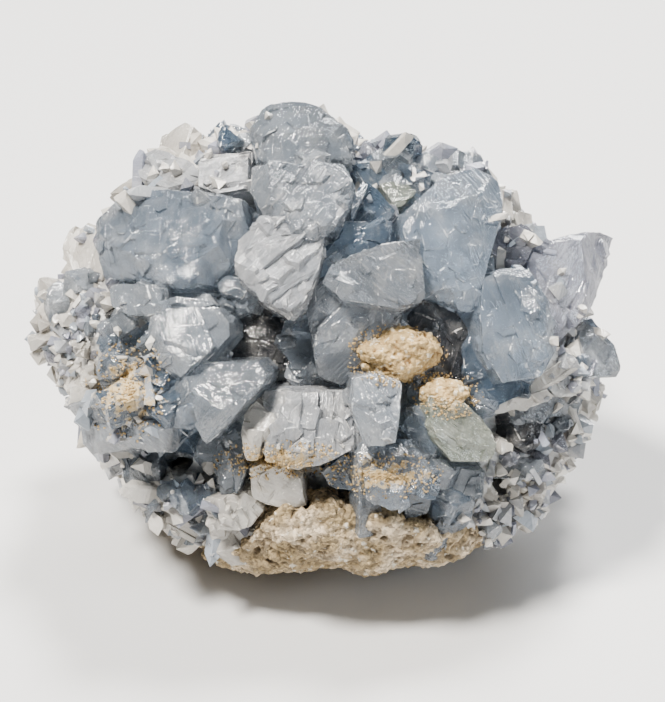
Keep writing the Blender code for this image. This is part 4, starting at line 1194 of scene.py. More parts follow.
def shrunk_nodes(nodes):
    """Slightly smaller copies of nodes, to make room for the nodes in a skin of celestite."""
    rooms = []
    for node in nodes:
        item = copy_of_node("room", node)
        fuse(item, MATRIX_VOXEL)
        points, normals = vertex_arrays(item.data)
        put_points(item.data, points - normals * ROOM_INSET * MM)
        rooms.append(item)
    return rooms


def united(groups, name):
    """Overlapping solids united in one mesh with flat faces."""
    items = []
    for kind, solids in groups:
        for solid in solids:
            if not solid.faces or any(len(edge.link_faces) != 2 for edge in solid.edges):
                solid.free()
                continue
            look = solid.faces.layers.int.new("look")
            for face in solid.faces:
                face[look] = kind
            items.append(object_from(name, solid))
    boolean(items[0], items[1:], "UNION")
    return items[0]


def face_triangles(mesh, points):
    """A mesh's faces as triangles (corners, face), no two faces cut along the same line."""
    mesh.calc_loop_triangles()
    triangles = [(tuple(t.vertices), t.polygon_index) for t in mesh.loop_triangles]
    for _ in range(MEND_ROUNDS):
        users = {}
        for number, ((a, b, c), _) in enumerate(triangles):
            for pair in ((a, b), (b, c), (c, a)):
                users.setdefault((min(pair), max(pair)), []).append(number)
        changed, extra = {}, []
        for (start, end), numbers in users.items():
            owners = {}
            for number in numbers:
                owners.setdefault(triangles[number][1], []).append(number)
            for pair in list(owners.values())[1:]:
                if len(numbers) > 2 and len(pair) == 2 and not any(n in changed for n in pair):
                    middle = len(points)
                    points.append((points[start] + points[end]) / 2.0)
                    for number in pair:
                        corners, face = triangles[number]
                        changed[number] = (tuple(middle if c == end else c for c in corners), face)
                        extra.append((tuple(middle if c == start else c for c in corners), face))
        if not changed:
            break
        triangles = [changed.get(n, triangle) for n, triangle in enumerate(triangles)] + extra
    return triangles


def divide_faces(item):
    """Divide the faces into triangles whose edges are all short."""
    mesh = item.data
    points = [vertex.co.copy() for vertex in mesh.vertices]
    triangles = face_triangles(mesh, points)
    limit = LONGEST_EDGE * MM
    split = True
    while split:
        split, middles, smaller = False, {}, []
        for (a, b, c), face in triangles:
            found = []
            for start, end in ((a, b), (b, c), (c, a)):
                key = (min(start, end), max(start, end))
                if key not in middles:
                    middles[key] = None
                    if (points[start] - points[end]).length > limit:
                        middles[key] = len(points)
                        points.append((points[start] + points[end]) / 2.0)
                found.append(middles[key])
            while found[0] is None and any(middle is not None for middle in found):
                found, (a, b, c) = found[1:] + found[:1], (b, c, a)
            ab, bc, ca = found
            if ab is None:
                parts = ((a, b, c),)
            elif bc is None and ca is None:
                parts = ((a, ab, c), (ab, b, c))
            elif ca is None:
                parts = ((ab, b, bc), (a, ab, bc), (a, bc, c))
            elif bc is None:
                parts = ((a, ab, ca), (ab, b, c), (ab, c, ca))
            else:
                parts = ((a, ab, ca), (ab, b, bc), (ca, bc, c), (ab, bc, ca))
            split = split or len(parts) > 1
            smaller += [(part, face) for part in parts]
        triangles = smaller
    values = {name: face_values(mesh, name) for name in ("look", WORN_AND_HIGHLIT)}
    owners = np.array([face for _, face in triangles])
    mesh.clear_geometry()
    mesh.from_pydata(points, [], [corners for corners, _ in triangles])
    for name, found in values.items():
        if name not in mesh.attributes:
            mesh.attributes.new(name, "INT", "FACE")
        mesh.attributes[name].data.foreach_set("value", found[owners])
    mesh.update()


def glassy_relief(where, grain, lined):
    """Shape of a crystal's face, in millimetres: gentle swells, ripples and growth ridges."""
    ridge = noise.noise(Vector(
        (where.dot(grain) / RIDGE_SIZE, where.x * RIDGE_DRIFT, where.z * RIDGE_DRIFT)))
    return (sum(height * noise.noise(where / size) for height, size in SWELLS)
            + RIDGE_HEIGHT * lined * ridge)


def make_uneven(item, kinds):
    """Move the points of the clear crystals a little."""
    mesh = item.data
    found = face_values(mesh, "look")
    point_kinds = np.zeros(len(mesh.vertices), dtype=np.int32)
    for polygon, kind in zip(mesh.polygons, found):
        for index in polygon.vertices:
            point_kinds[index] = kind
    points, normals = vertex_arrays(mesh)
    for index, kind in enumerate(point_kinds):
        where = Vector(points[index]) / MM
        move = glassy_relief(where, Vector(kinds.grain[kind]), kinds.lined[kind])
        patch = smooth_step((noise.noise(where / FLAKY_SIZE) - FLAKY_START) / FLAKY_RANGE)
        broken = kinds.rough[kind] + FLAKY_DEPTH * patch
        if broken > LEAST_BROKEN:
            move += broken_relief(points[index]) * broken
        points[index] += normals[index] * move * MM
    put_points(mesh, off_the_floor(points))


def crystals_tree(groups):
    """A tree over the faces of the clear crystals, and the kind of each of its faces."""
    vertices, faces, face_kinds = [], [], []
    for kind, solids in groups:
        for solid in solids:
            start = len(vertices)
            solid.verts.index_update()
            vertices += [vertex.co.copy() for vertex in solid.verts]
            faces += [[start + vertex.index for vertex in face.verts] for face in solid.faces]
            face_kinds += [kind] * len(solid.faces)
    return BVHTree.FromPolygons(vertices, faces), face_kinds


def filler_crystals(host, groups, kinds):
    """Smaller crystals that stand in the gaps, found by looking from the eye."""
    tree, _ = joined_tree([host])
    others, _ = crystals_tree(groups)
    found, number = [], FILLER_SEED
    for count, lengths, proud, spread, looks in FILLERS:
        for _ in range(count):
            number += 1
            draw = random.Random(number)
            toward = sight_line(0.0, 0.0, spread, spread, draw.uniform(0.0, FULL_TURN),
                                math.sqrt(draw.random()))
            length = draw.uniform(*lengths)
            stands = draw.uniform(*proud)
            tilt = random_vector(draw, FILLER_TILT)
            look = draw.choice(looks)
            hit, normal, _, away = tree.ray_cast(EYE, toward)
            if hit is None or not inside_rim(hit, FILLER_RIM_MARGIN):
                continue
            if others.ray_cast(EYE, toward, away - FILLER_GAP * MM)[0] is not None:
                continue
            axis = (normal + tilt).normalized()
            tip = hit + axis * length * stands * MM
            if near_matrix(hit) or near_matrix(tip) or in_pocket(*as_seen(hit)):
                continue
            solid = celestine_crystal(
                hit - axis * length * (1.0 - stands) * MM, axis, draw.uniform(0.0, math.pi),
                length * MM, length * draw.uniform(*CRYSTAL_WIDTHS) * MM,
                length * draw.uniform(*CRYSTAL_THICKNESSES) * MM)
            chip(solid, draw, SEEDED_CHIPS)
            wear_edges(solid, draw)
            found.append((kinds.add(look, axis, draw), [solid]))
    return found


def growth(place, normal, size, draw):
    """A low block on a crystal's face, with a slightly leaning top."""
    lean = random_vector(draw, GROWTH_LEAN)
    planes = [(place + normal * draw.uniform(*GROWTH_RISE) * MM, (normal + lean).normalized()),
              (place - normal * GROWTH_ROOT * MM, -normal)]
    start = draw.uniform(0.0, FULL_TURN)
    across = normal.orthogonal().normalized()
    count = draw.randint(*GROWTH_SIDES)
    for number in range(count):
        turn = draw.uniform(-GROWTH_TURN, GROWTH_TURN)
        turn = start + FULL_TURN * (number + turn) / count
        outward = Matrix.Rotation(turn, 3, normal) @ across
        planes.append((place + outward * size * draw.uniform(*GROWTH_REACH) * MM,
                       (outward + normal * draw.uniform(*GROWTH_SLOPES)).normalized()))
    return convex(place, planes)


def overhangs(solid, tree):
    """Whether a growth stands out in the air beyond the edges of the crystals."""
    for vertex in solid.verts:
        place, normal, _, away = tree.find_nearest(vertex.co)
        if away > GROWTH_OVERHANG * MM and (vertex.co - place).dot(normal) > 0.0:
            return True
    return False


def growths(groups, kinds):
    """Low growths on the faces of the clear crystals, in their hosts' own looks."""
    tree, face_kinds = crystals_tree(groups)
    found = []
    for number in range(GROWTHS + GROWTHS_AROUND):
        draw = random.Random(GROWTH_SEED + number)
        origin = EYE
        direction = sight_line(0.0, 0.0, GROWTH_SPREAD, GROWTH_SPREAD,
                               draw.uniform(0.0, FULL_TURN), math.sqrt(draw.random()))
        around = view_direction(*random_direction(draw))
        size = draw.uniform(*GROWTH_SIZES)
        if number >= GROWTHS:
            origin, direction = CENTRE + around * OUTSIDE, -around
        hit, normal, face, _ = tree.ray_cast(origin, direction)
        if hit is None or kinds.clear[face_kinds[face]] < GROWTH_LEAST_CLEAR:
            continue
        if hit.z < GROWTH_LOWEST * MM or in_pocket(*as_seen(hit)):
            continue
        for share in GROWTH_SHARES:
            solid = growth(hit, normal, size * share, draw)
            if not overhangs(solid, tree):
                wear_edges(solid, draw)
                found.append((face_kinds[face], [solid]))
                break
            solid.free()
    return found


def clear_crystals(groups, kinds):
    """The clear crystals as one skin."""
    item = united(groups, "celestite_crystals")
    roots = object_from("roots", body_solid(ROOTS_DIVISIONS, -ROOTS_DEPTH))
    boolean(item, shrunk_nodes(LUMPS) + [roots], "DIFFERENCE")
    divide_faces(item)
    make_uneven(item, kinds)
    lighten(item, CRYSTAL_TRIANGLES)
    mend(item)
    kinds.dress(item.data, face_values(item.data, "look"), face_values(item.data, WORN_AND_HIGHLIT), "FACE")
    dust(item.data)
    smooth_by_angle(item.data)
    return item


def dust(mesh):
    """How much sand clings to each point: most in the middle of each patch of loose sand."""
    points, _ = vertex_arrays(mesh)
    offset = points / MM - np.array(VIEW_CENTRE)
    shrink = 1.0 - offset @ np.array(VIEW_TOWARD) / VIEW_DISTANCE
    right = offset @ np.array(VIEW_RIGHT) / shrink
    up = offset @ np.array(VIEW_UP) / shrink
    share = np.zeros(len(points))
    for middle_right, middle_up, half_width, half_height, _, _ in CRUMBS:
        away = np.hypot((right - middle_right) / half_width, (up - middle_up) / half_height)
        share = np.maximum(share, 1.0 - away / DUST_REACH)
    set_values(mesh, "dust", np.where(offset @ np.array(VIEW_TOWARD) > 0.0, share, 0.0))


def sand_crumbs(hosts):
    """Loose grains of sand on the crystals."""
    tree, _ = joined_tree(hosts)
    draw = random.Random(CRUMBS_SEED)
    heap = Heap()
    for *patch, count, sizes in CRUMBS:
        for _ in range(count):
            angle = draw.uniform(0.0, FULL_TURN)
            share = draw.random()
            size = draw.uniform(*sizes)
            shape = [draw.uniform(*CRUMB_SHAPES) for _ in range(3)]
            turn = Matrix.Rotation(draw.uniform(*CRUMB_TURNS), 3, "X")
            hit, normal, _, _ = tree.ray_cast(EYE, sight_line(*patch, angle, share))
            if hit is None or normal.z < CRUMB_STEEPEST:
                continue
            solid = bmesh.new()
            bmesh.ops.create_icosphere(solid, subdivisions=1, radius=CRUMB_RADIUS * size * MM)
            place = Vector((share, patch[1], patch[0]))
            for vertex in solid.verts:
                rough = 1.0 + CRUMB_ROUGHNESS * noise.noise(vertex.co / MM * CRUMB_NOISE + place)
                vertex.co = turn @ Vector([vertex.co[i] * shape[i] * rough for i in range(3)])
                vertex.co += hit + normal * size * CRUMB_LIFT * MM
            heap.add(solid, 0)
    item = object_from("sand_crumbs", heap.mesh)
    points, _ = vertex_arrays(item.data)
    put_points(item.data, keep_in_box(points))
    set_values(item.data, "height", np.full(len(points), CRUMB_HEIGHT))
    return item


def twin_faces(solid):
    """Faces that lie on the same corners as another face."""
    found = {}
    for face in solid.faces:
        found.setdefault(tuple(sorted(v.index for v in face.verts)), []).append(face)
    return [face for faces in found.values() if len(faces) > 1 for face in faces]


def mend(item):
    """Close the few places where an edge doesn't join exactly two faces."""
    solid = bmesh.new()
    solid.from_mesh(item.data)
    look = solid.faces.layers.int.get("look")
    for _ in range(MEND_ROUNDS):
        solid.verts.index_update()
        twins = twin_faces(solid)
        bmesh.ops.delete(solid, geom=twins, context="FACES")
        torn = [edge for edge in solid.edges if len(edge.link_faces) != 2]
        if not torn and not twins:
            break
        bad = {vertex.index for edge in torn for vertex in edge.verts}
        bmesh.ops.delete(solid, geom=[v for v in solid.verts if v.index in bad],
                         context="VERTS")
        loose = [vertex for vertex in solid.verts if not vertex.link_faces]
        bmesh.ops.delete(solid, geom=loose, context="VERTS")
        rims = [edge for edge in solid.edges if len(edge.link_faces) == 1]
        made = bmesh.ops.holes_fill(solid, edges=rims, sides=0)["faces"]
        for face in made:
            near = [other for edge in face.edges for other in edge.link_faces if other != face]
            if look and near:
                face[look] = near[0][look]
        bmesh.ops.triangulate(solid, faces=made)
    solid.to_mesh(item.data)
    solid.free()
    item.data.validate()


def face_values(mesh, name):
    values = np.zeros(len(mesh.polygons), dtype=np.int32)
    mesh.attributes[name].data.foreach_get("value", values)
    return values


def crust_solid():
    """The massive crust, lower than the model's where crystals cover it."""
    solid = body_solid(CRUST_DIVISIONS, -CRUST_INSET)
    for vertex in solid.verts:
        outward = (vertex.co - CENTRE).normalized()
        facing = outward.dot(VIEW_TOWARD)
        share = (facing - BASE_FRONT_START) / (BASE_FRONT_FULL - BASE_FRONT_START)
        x, y, z = vertex.co / MM
        under = (matrix_top(x, y) - z) / UNDER_MATRIX_RUN
        depth = max(smooth_step(share) * BASE_FRONT_DEPTH, smooth_step(under) * UNDER_MATRIX_DEPTH)
        vertex.co -= outward * depth * MM
    return solid


def rough_base(groups, kinds, detail):
    """The massive crust that the crystals grow from, with the rough ones, as one skin."""
    heap = Heap()
    crust = object_from("crust", crust_solid())
    boolean(crust, pocket_cutters(), "DIFFERENCE")
    solid = bmesh.new()
    solid.from_mesh(crust.data)
    bpy.data.objects.remove(crust)
    heap.add(solid, kinds.add("massive", CRUST_GRAIN, detail))
    for kind, solids in groups:
        for solid in solids:
            heap.add(solid, kind)
    tree, face_kinds = heap.tree()
    item = object_from("celestite_base", heap.mesh)
    fuse(item, BASE_VOXEL)
    points, _ = vertex_arrays(item.data)
    roughen(item.data, nearest_kinds(points, tree, face_kinds), kinds)
    boolean(item, shrunk_nodes(("matrix", *LUMPS)), "DIFFERENCE")
    lighten(item, BASE_TRIANGLES)
    mend(item)
    points, _ = vertex_arrays(item.data)
    points = off_the_floor(points)
    put_points(item.data, points)
    found = nearest_kinds(points, tree, face_kinds)
    kinds.dress(item.data, found, wear_and_highlight_of(item.data), "POINT")
    # The base between the large crystals: partly their blue-grey, partly painted shade.
    tint_and_shade_front(item.data, points)
    dust(item.data)
    smooth_by_angle(item.data)
    return item


def tint_and_shade_front(mesh, points):
    """Base between the large crystals: blue-grey, partly their tone and partly painted shade."""
    offset = points - np.array(CENTRE)
    facing = offset @ np.array(VIEW_TOWARD) / np.linalg.norm(offset, axis=1)
    share = np.clip((facing - BASE_FRONT_START) / (BASE_FRONT_FULL - BASE_FRONT_START), 0, 1)
    layer = mesh.attributes["tint"]
    colours = np.empty(len(points) * 4, dtype=np.float32)
    layer.data.foreach_get("color", colours)
    colours = colours.reshape(-1, 4)
    share = (share * BASE_FRONT_SHADE_SHARE)[:, None]
    colours[:, :3] = colours[:, :3] * (1.0 - share) + np.array(BASE_FRONT_TINT_AND_SHADE) * share
    layer.data.foreach_set("color", colours.ravel())


def wear_and_highlight_of(mesh):
    """How white each point is: edges that stand out, as chipped wear and painted highlight."""
    return np.clip((convexity(mesh) - WEAR_HIGHLIGHT_START) / WEAR_HIGHLIGHT_RANGE, 0.0, 1.0)


def smooth_by_angle(mesh):
    mesh.polygons.foreach_set("use_smooth", [True] * len(mesh.polygons))
    mesh.set_sharp_from_angle(angle=SHARP_ANGLE)


def small_templates(source):
    """A few small crystals of different widths, standing at the origin."""
    shapes = []
    for _ in range(TEMPLATES):
        length = TEMPLATE_LENGTH * MM
        solid = celestine_crystal(
            Vector(), Vector((0.0, 0.0, 1.0)), source.uniform(0.0, math.pi), length,
            length * source.uniform(*TEMPLATE_WIDTHS),
            length * source.uniform(*TEMPLATE_THICKNESSES))
        chip(solid, source, 1, TEMPLATE_CHIP_DEPTHS)
        bmesh.ops.recalc_face_normals(solid, faces=solid.faces[:])
        shapes.append(solid)
    return shapes


def stand(template, place, axis, turn, scale):
    """A copy of a template, standing at a place along an axis."""
    matrix = (Matrix.Translation(place)
              @ axis.to_track_quat("Z", "Y").to_matrix().to_4x4()
              @ Matrix.Rotation(turn, 4, "Z") @ Matrix.Diagonal((scale, scale, scale, 1.0)))
    solid = template.copy()
    bmesh.ops.transform(solid, matrix=matrix, verts=solid.verts[:])
    return solid


def joined_tree(items):
    """A tree over the faces of several pieces, and how clear each of its faces is."""
    vertices, faces, clear = [], [], []
    for item in items:
        mesh, start = item.data, len(vertices)
        vertices += [vertex.co.copy() for vertex in mesh.vertices]
        faces += [[start + index for index in polygon.vertices] for polygon in mesh.polygons]
        layer = mesh.attributes["clear"]
        values = np.zeros(len(layer.data), dtype=np.float32)
        layer.data.foreach_get("value", values)
        if layer.domain == "POINT":
            values = values[[polygon.vertices[0] for polygon in mesh.polygons]]
        clear += values.tolist()
    return BVHTree.FromPolygons(vertices, faces), clear


def small_crystals(hosts, kinds):
    """Druse in the rims and joints and round the back, as one crust of small crystals."""
    tree, clear = joined_tree(hosts)
    templates = small_templates(random.Random(DRUSE_SEED))
    heap = Heap()

    def plant(origin, direction, sizes, stays, draw):
        tilt = random_vector(draw, DRUSE_TILT)
        size = draw.uniform(*sizes) * draw.uniform(*DRUSE_SCALES)
        look = draw.choice(DRUSE_LOOKS)
        template = draw.choice(templates)
        turn = draw.uniform(0.0, FULL_TURN)
        chance = draw.random()
        hit, normal, face, _ = tree.ray_cast(origin, direction)
        if hit is None or (clear[face] > DRUSE_CLEAR_LIMIT and chance > stays):
            return
        if near_matrix(hit, DRUSE_CLEARANCE) or not inside_rim(hit, DRUSE_RIM_MARGIN):
            return
        axis = (normal + tilt).normalized()
        solid = stand(template, hit - axis * size * DRUSE_SINK * MM, axis, turn,
                      size / TEMPLATE_LENGTH)
        if all(cad_box[0][i] < vertex.co[i] < cad_box[1][i]
               for vertex in solid.verts for i in range(3)):
            heap.add(solid, kinds.add(look, axis, draw))
        else:
            solid.free()

    number = 0
    for *patch, count, sizes in DRUSE:
        for _ in range(count):
            number += 1
            draw = random.Random(number)
            direction = sight_line(*patch, draw.uniform(0.0, FULL_TURN), math.sqrt(draw.random()))
            plant(EYE, direction, sizes, DRUSE_STAYS, draw)
    for _ in range(DRUSE_AROUND):
        number += 1
        draw = random.Random(number)
        direction = random_direction(draw)
        if direction.z < DRUSE_AROUND_FRONT:
            outward = view_direction(*direction)
            plant(CENTRE + outward * OUTSIDE, -outward, DRUSE_AROUND_SIZES, DRUSE_AROUND_STAYS,
                  draw)
    for template in templates:
        template.free()
    item = object_from("druse", heap.mesh)
    kinds.dress(item.data, face_values(item.data, "look"), face_values(item.data, WORN_AND_HIGHLIT), "FACE")
    dust(item.data)
    return item


def grainy_relief(point, pit_depth):
    """Shape of the matrix: sand grains, knobs and pits, in millimetres."""
    where = Vector(point) / MM
    grains = (0.5 - noise.voronoi(where / SANDY_CELL_SIZE)[0][0]
              + SANDY_FINE * noise.noise(where / SANDY_FINE_SIZE))
    broad, middle, small = (noise.noise(where / size) for size in SANDY_KNOB_SIZES)
    knobs = SANDY_CREASES * (0.5 - abs(broad)) + middle + 0.5 * small
    pits = min(0.0, noise.noise(where / PIT_SIZE + PIT_PLACE) + PIT_LEVEL)
    return SANDY_GRAIN * grains + SANDY_KNOB * knobs + pit_depth * pits


def sandy_skin(name, node, voxel, triangles, pit_depth, strength):
    """A sandy skin made from a node of the model."""
    item = copy_of_node(name, node)
    fuse(item, voxel)
    points, normals = vertex_arrays(item.data)
    moves = np.array([grainy_relief(point, pit_depth) for point in points]) * strength
    moves = np.where(points[:, 2] < FLAT_HEIGHT * MM, np.minimum(moves, 0.0), moves)
    points += normals * moves[:, None] * MM
    put_points(item.data, np.clip(points, *(np.array(corner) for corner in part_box(node))))
    lighten(item, triangles)
    points = keep_in_box(vertex_arrays(item.data)[0])
    put_points(item.data, points)
    # The height also darkens the hollows in the material, as painted shade.
    deep = [grainy_relief(point, pit_depth) for point in points]
    set_values(item.data, "height", deep)
    smooth_by_angle(item.data)
    return item


class Shader:
    """The node tree of one material, built by short calls."""

    def __init__(self, name):
        self.material = bpy.data.materials.new(name)
        self.material.use_nodes = True
        self.tree = self.material.node_tree
        self.tree.nodes.clear()
        place = self.node("ShaderNodeTexCoord").outputs["Object"]
        self.place = self.scaled(place, 1.0 / MM)

    def node(self, kind, inputs=None, **settings):
        node = self.tree.nodes.new(kind)
        for key, value in settings.items():
            setattr(node, key, value)
        for key, value in (inputs or {}).items():
            if isinstance(value, bpy.types.NodeSocket):
                self.tree.links.new(value, node.inputs[key])
            else:
                node.inputs[key].default_value = value
        return node

    def scaled(self, vector, scale):
        inputs = {0: vector, "Scale": scale}
        return self.node("ShaderNodeVectorMath", inputs, operation="SCALE").outputs[0]

    def attribute(self, name, output="Fac"):
        return self.node("ShaderNodeAttribute", attribute_name=name).outputs[output]

    def math(self, operation, first, second, clamp=False):
        inputs = {0: first, 1: second}
        return self.node("ShaderNodeMath", inputs, operation=operation,
                         use_clamp=clamp).outputs[0]

    def sum(self, *terms):
        """Sum of (socket, weight) pairs and plain numbers."""
        total = 0.0
        for term in terms:
            value = self.math("MULTIPLY", *term) if isinstance(term, tuple) else term
            total = self.math("ADD", total, value)
        return total

    def noise(self, size, detail, place=None, dimensions="3D"):
        """Noise from 0 to 1 with features of a size in millimetres."""
        key = "W" if dimensions == "1D" else "Vector"
        inputs = {key: place or self.place, "Scale": 1.0 / size, "Detail": detail}
        return self.node("ShaderNodeTexNoise", inputs,
                         noise_dimensions=dimensions).outputs["Fac"]

    def cells(self, size, output="Distance"):
        """Grains of a size in millimetres: the distance from each middle, or a colour."""
        inputs = {"Vector": self.place, "Scale": 1.0 / size}
        return self.node("ShaderNodeTexVoronoi", inputs).outputs[output]

    def step(self, value, low, high):
        """0 below low, 1 above high, smooth between."""
        inputs = {"Value": value, "From Min": low, "From Max": high}
        return self.node("ShaderNodeMapRange", inputs,
                         interpolation_type="SMOOTHSTEP").outputs[0]

    def mix(self, share, first, second, blend="MIX"):
        node = self.node("ShaderNodeMix", {0: share}, data_type="RGBA", blend_type=blend)
        for socket, value in ((node.inputs[6], first), (node.inputs[7], second)):
            if isinstance(value, bpy.types.NodeSocket):
                self.tree.links.new(value, socket)
            else:
                socket.default_value = (*value, 1.0)
        return node.outputs[2]

    def shaded(self, colour, share):
        """A colour multiplied by a number."""
        grey = self.node("ShaderNodeCombineColor", {0: share, 1: share, 2: share}).outputs[0]
        return self.mix(1.0, colour, grey, "MULTIPLY")

    def bump(self, height):
        """Bump from a height in millimetres."""
        return self.node("ShaderNodeBump", {"Height": height, "Distance": MM}).outputs[0]

    def finish(self, **inputs):
        """The Principled surface; keys use underscores for spaces."""
        named = {key.replace("_", " "): value for key, value in inputs.items()}
        principled = self.node("ShaderNodeBsdfPrincipled", named)
        return self.node("ShaderNodeOutputMaterial", {"Surface": principled.outputs[0]})


def crystal_material(name, clearness):
    """Celestite, clear to cloudy blue and veiled inside; lined, chipped faces; painted highlights.
    """
    shader = Shader(name)
    tint = shader.attribute("tint", "Color")
    clear = shader.attribute("clear")
    broken = shader.attribute("broken")
    wear_and_highlight = shader.attribute("wear_and_highlight")
    lined = shader.attribute("lined")
    grain = shader.attribute("grain", "Vector")

    across = shader.node("ShaderNodeVectorMath", {0: shader.place, 1: grain},
                         operation="DOT_PRODUCT").outputs["Value"]
    lines = shader.noise(0.7, 5.0, across, dimensions="1D")
    along = shader.node("ShaderNodeVectorMath", {
        0: shader.scaled(grain, shader.math("MULTIPLY", across, STREAK_SQUEEZE)),
        1: shader.scaled(shader.place, STREAK_STRETCH)}, operation="ADD").outputs[0]
    streak = shader.noise(1.0, 5.0, along)
    cloud = shader.noise(11.0, 4.0)
    veil = shader.step(shader.noise(6.0, 5.0), 0.42, 0.8)
    speckle = shader.noise(0.35, 2.0)
    frost = shader.step(shader.noise(0.8, 4.0), 0.5, 0.75)
    patches = shader.step(shader.noise(6.0, 4.0), 0.4, 0.7)
    frost = shader.math("MULTIPLY", frost, shader.sum((patches, 0.7), (broken, 0.6), 0.1))
    # Painted glints: white specks standing for highlights.
    glint = shader.step(speckle, 0.68, 0.78)
    # White streaks along the lines: partly scratches, partly painted highlight on the striations.
    scratch_and_sheen = shader.step(streak, 0.55, 0.75)
    # Worn edges whitened: partly chipped wear, partly painted highlight on the ridges.
    worn_and_highlit = shader.math("MULTIPLY", wear_and_highlight, shader.step(shader.noise(1.6, 4.0), 0.45, 0.62))

    colour = shader.shaded(tint, shader.sum((cloud, 0.8), 0.6))
    # Towards the warm white: real veil, frost and breaks, and painted glints, streaks and edges.
    white = shader.sum((veil, 0.3), (worn_and_highlit, 0.4), (frost, 0.35), (broken, 0.15), (glint, 0.15),
                       (scratch_and_sheen, shader.sum((lined, 0.25), 0.08)))
    colour = shader.mix(shader.math("MINIMUM", white, 0.8), colour, VEIL_AND_HIGHLIGHT_COLOUR)
    stain = shader.step(shader.noise(13.0, 5.0), 0.58, 0.75)
    stain = shader.math("MULTIPLY", stain, shader.sum((broken, 0.8), (frost, 0.35)))
    colour = shader.mix(stain, colour, STAIN_COLOUR)
    dust = shader.math("MULTIPLY", shader.attribute("dust"), 0.55)
    dust = shader.step(shader.math("ADD", shader.noise(1.9, 6.0), dust), 0.78, 0.98)
    colour = shader.mix(dust, colour, DUST_COLOUR)

    solid = shader.sum((veil, 0.15), (worn_and_highlit, 0.5), (frost, 0.25), (broken, 0.2),
                       (scratch_and_sheen, 0.1), (dust, 0.9), (glint, 0.2))
    open_share = shader.math("SUBTRACT", 1.0, solid, clamp=True)
    through = shader.math("MULTIPLY", shader.math("MULTIPLY", clear, open_share), clearness)
    rough = shader.sum((cloud, 0.06), (worn_and_highlit, 0.2), (broken, 0.1), (frost, 0.2), (dust, 0.4),
                       (patches, 0.06), 0.02)

    height = shader.sum(
        (shader.math("MULTIPLY", lines, lined), 0.3), (streak, 0.16),
        (shader.noise(1.8, 4.0), shader.sum((broken, 0.4), 0.2)),
        (speckle, shader.sum((broken, 0.08), (frost, 0.08), (dust, 0.15), 0.03)))
    shader.finish(
        Base_Color=colour, Roughness=rough, Transmission_Weight=through, IOR=CELESTITE_IOR,
        Normal=shader.bump(height))
    return shader.material


def matrix_material():
    """Sandy matrix: tan grains, cream patches, and pits darkened as painted shade."""
    shader = Shader("matrix_sand")
    height = shader.attribute("height")
    patch = shader.step(shader.noise(9.0, 5.0), 0.42, 0.62)
    colour = shader.mix(patch, *MATRIX_COLOURS)
    grains = shader.cells(0.9, "Color")
    grain_shade = shader.node("ShaderNodeSeparateColor", {0: grains}).outputs[0]
    colour = shader.shaded(colour, shader.sum((grain_shade, 0.8), 0.55))
    # Painted shade: the hollows are darkened.
    pit_shade = shader.step(height, 0.1, -0.7)
    colour = shader.mix(pit_shade, colour, MATRIX_PIT_SHADE_COLOUR)
    pale = shader.step(shader.noise(2.2, 3.0), 0.62, 0.7)
    colour = shader.mix(pale, colour, MATRIX_PALE_COLOUR)
    bumps = shader.sum((shader.cells(0.9), -0.45), (shader.noise(0.5, 3.0), 0.25))
    shader.finish(Base_Color=colour, Roughness=shader.sum((grain_shade, 0.2), 0.75),
                  Normal=shader.bump(bumps))
    return shader.material


def sand_material():
    """Golden-brown sand grains stuck together."""
    shader = Shader("golden_sand")
    grains = shader.node("ShaderNodeSeparateColor", {0: shader.cells(0.8, "Color")})
    colour = shader.mix(grains.outputs[0], *SAND_COLOURS)
    pale = shader.step(grains.outputs[1], 0.86, 0.92)
    colour = shader.mix(pale, colour, SAND_PALE_COLOUR)
    # Painted shade: the hollows are darkened.
    pit_shade = shader.step(shader.attribute("height"), 0.0, -0.6)
    colour = shader.mix(pit_shade, colour, SAND_PIT_SHADE_COLOUR)
    bumps = shader.sum((shader.cells(0.8), -0.35), (shader.noise(0.4, 2.0), 0.1))
    shader.finish(Base_Color=colour, Roughness=shader.sum((grains.outputs[2], 0.3), 0.6),
                  Normal=shader.bump(bumps))
    return shader.material


def floor_material():
    """A plain pale floor with a faint mottle."""
    shader = Shader("floor")
    shade = shader.sum((shader.noise(300.0, 2.0), 0.04), 0.98)
    shader.finish(Base_Color=shader.shaded(FLOOR_COLOUR, shade), Roughness=0.8)
    return shader.material


def add_camera():
    """The photograph's viewing angle."""
    camera = bpy.data.cameras.new("camera")
    camera.sensor_fit = "HORIZONTAL"
    camera.sensor_width = SENSOR_WIDTH
    frame_width = IMAGE_WIDTH / PIXELS_PER_MM
    camera.lens = SENSOR_WIDTH * VIEW_DISTANCE / frame_width
    camera.shift_x = (IMAGE_WIDTH / 2.0 - CENTRE_PIXEL[0]) / IMAGE_WIDTH
    camera.shift_y = (CENTRE_PIXEL[1] - IMAGE_HEIGHT / 2.0) / IMAGE_WIDTH
    camera.clip_start = NEAREST_SEEN
    item = bpy.data.objects.new("camera", camera)
    bpy.context.scene.collection.objects.link(item)
    turn = Matrix((VIEW_RIGHT, VIEW_UP, VIEW_TOWARD)).transposed()
    item.matrix_world = Matrix.Translation(EYE) @ turn.to_4x4()
    bpy.context.scene.camera = item


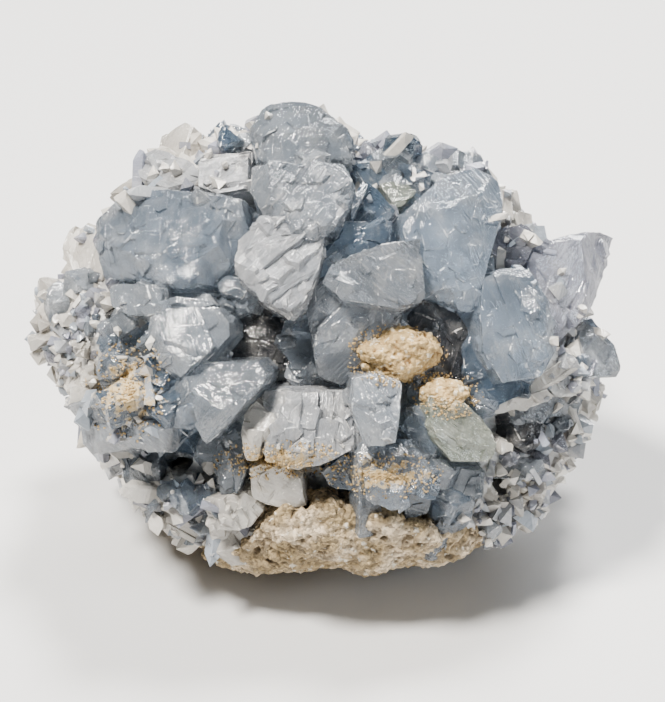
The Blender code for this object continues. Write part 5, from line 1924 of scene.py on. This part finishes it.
def add_lights():
    for name, place, size, power, colour in LIGHTS:
        light = bpy.data.lights.new(name, "AREA")
        light.color = colour
        light.shape = "DISK"
        light.size = size
        light.energy = power
        item = bpy.data.objects.new(name, light)
        item.location = place
        item.rotation_euler = (LIGHTS_AIM - Vector(place)).to_track_quat("-Z", "Y").to_euler()
        bpy.context.scene.collection.objects.link(item)
    world = bpy.data.worlds.new("studio")
    world.use_nodes = True
    background = world.node_tree.nodes["Background"]
    background.inputs["Color"].default_value = WORLD_COLOUR
    background.inputs["Strength"].default_value = WORLD_STRENGTH
    bpy.context.scene.world = world


def add_exposure():
    settings = bpy.context.scene.view_settings
    settings.view_transform = "AgX"
    settings.look = "AgX - Medium High Contrast"
    settings.exposure = EXPOSURE


def add_floor():
    solid = bmesh.new()
    bmesh.ops.create_grid(solid, x_segments=1, y_segments=1, size=FLOOR_HALF_SIZE)
    floor = object_from("floor", solid)
    floor.data.materials.append(floor_material())


def place_piece(item, material, nodes=()):
    item.data.materials.clear()
    item.data.materials.append(material)
    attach(item, "root")
    if nodes:
        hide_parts(*nodes)


add_camera()
add_lights()
add_exposure()
add_floor()

table = Kinds()
detail = random.Random(DETAIL_SEED)
clear_groups, rough_groups = crystal_groups(table, random.Random(SEED), detail)
base = rough_base(rough_groups, table, detail)
clear_groups += filler_crystals(base, clear_groups, table)
clear_groups += growths(clear_groups, table)
crystals = clear_crystals(clear_groups, table)
druse = small_crystals([crystals, base], table)
crumbs = sand_crumbs([crystals, base])
matrix = sandy_skin("matrix_rock", "matrix", MATRIX_VOXEL, MATRIX_TRIANGLES, MATRIX_PITS,
                    MATRIX_STRENGTH)
lumps = [sandy_skin(node + "_grains", node, SAND_VOXEL, SAND_TRIANGLES, SAND_PITS, SAND_STRENGTH)
         for node in LUMPS]

place_piece(crystals, crystal_material("celestite", CRYSTAL_CLEARNESS),
            ["celestite"])
place_piece(base, crystal_material("massive_celestite", 0.0))
place_piece(druse, crystal_material("druse", DRUSE_CLEARNESS))
place_piece(matrix, matrix_material(), ["matrix"])
sand = sand_material()
place_piece(lumps[0], sand, ["sandy_lump_upper"])
place_piece(lumps[1], sand, ["sandy_lump_lower"])
place_piece(crumbs, sand)
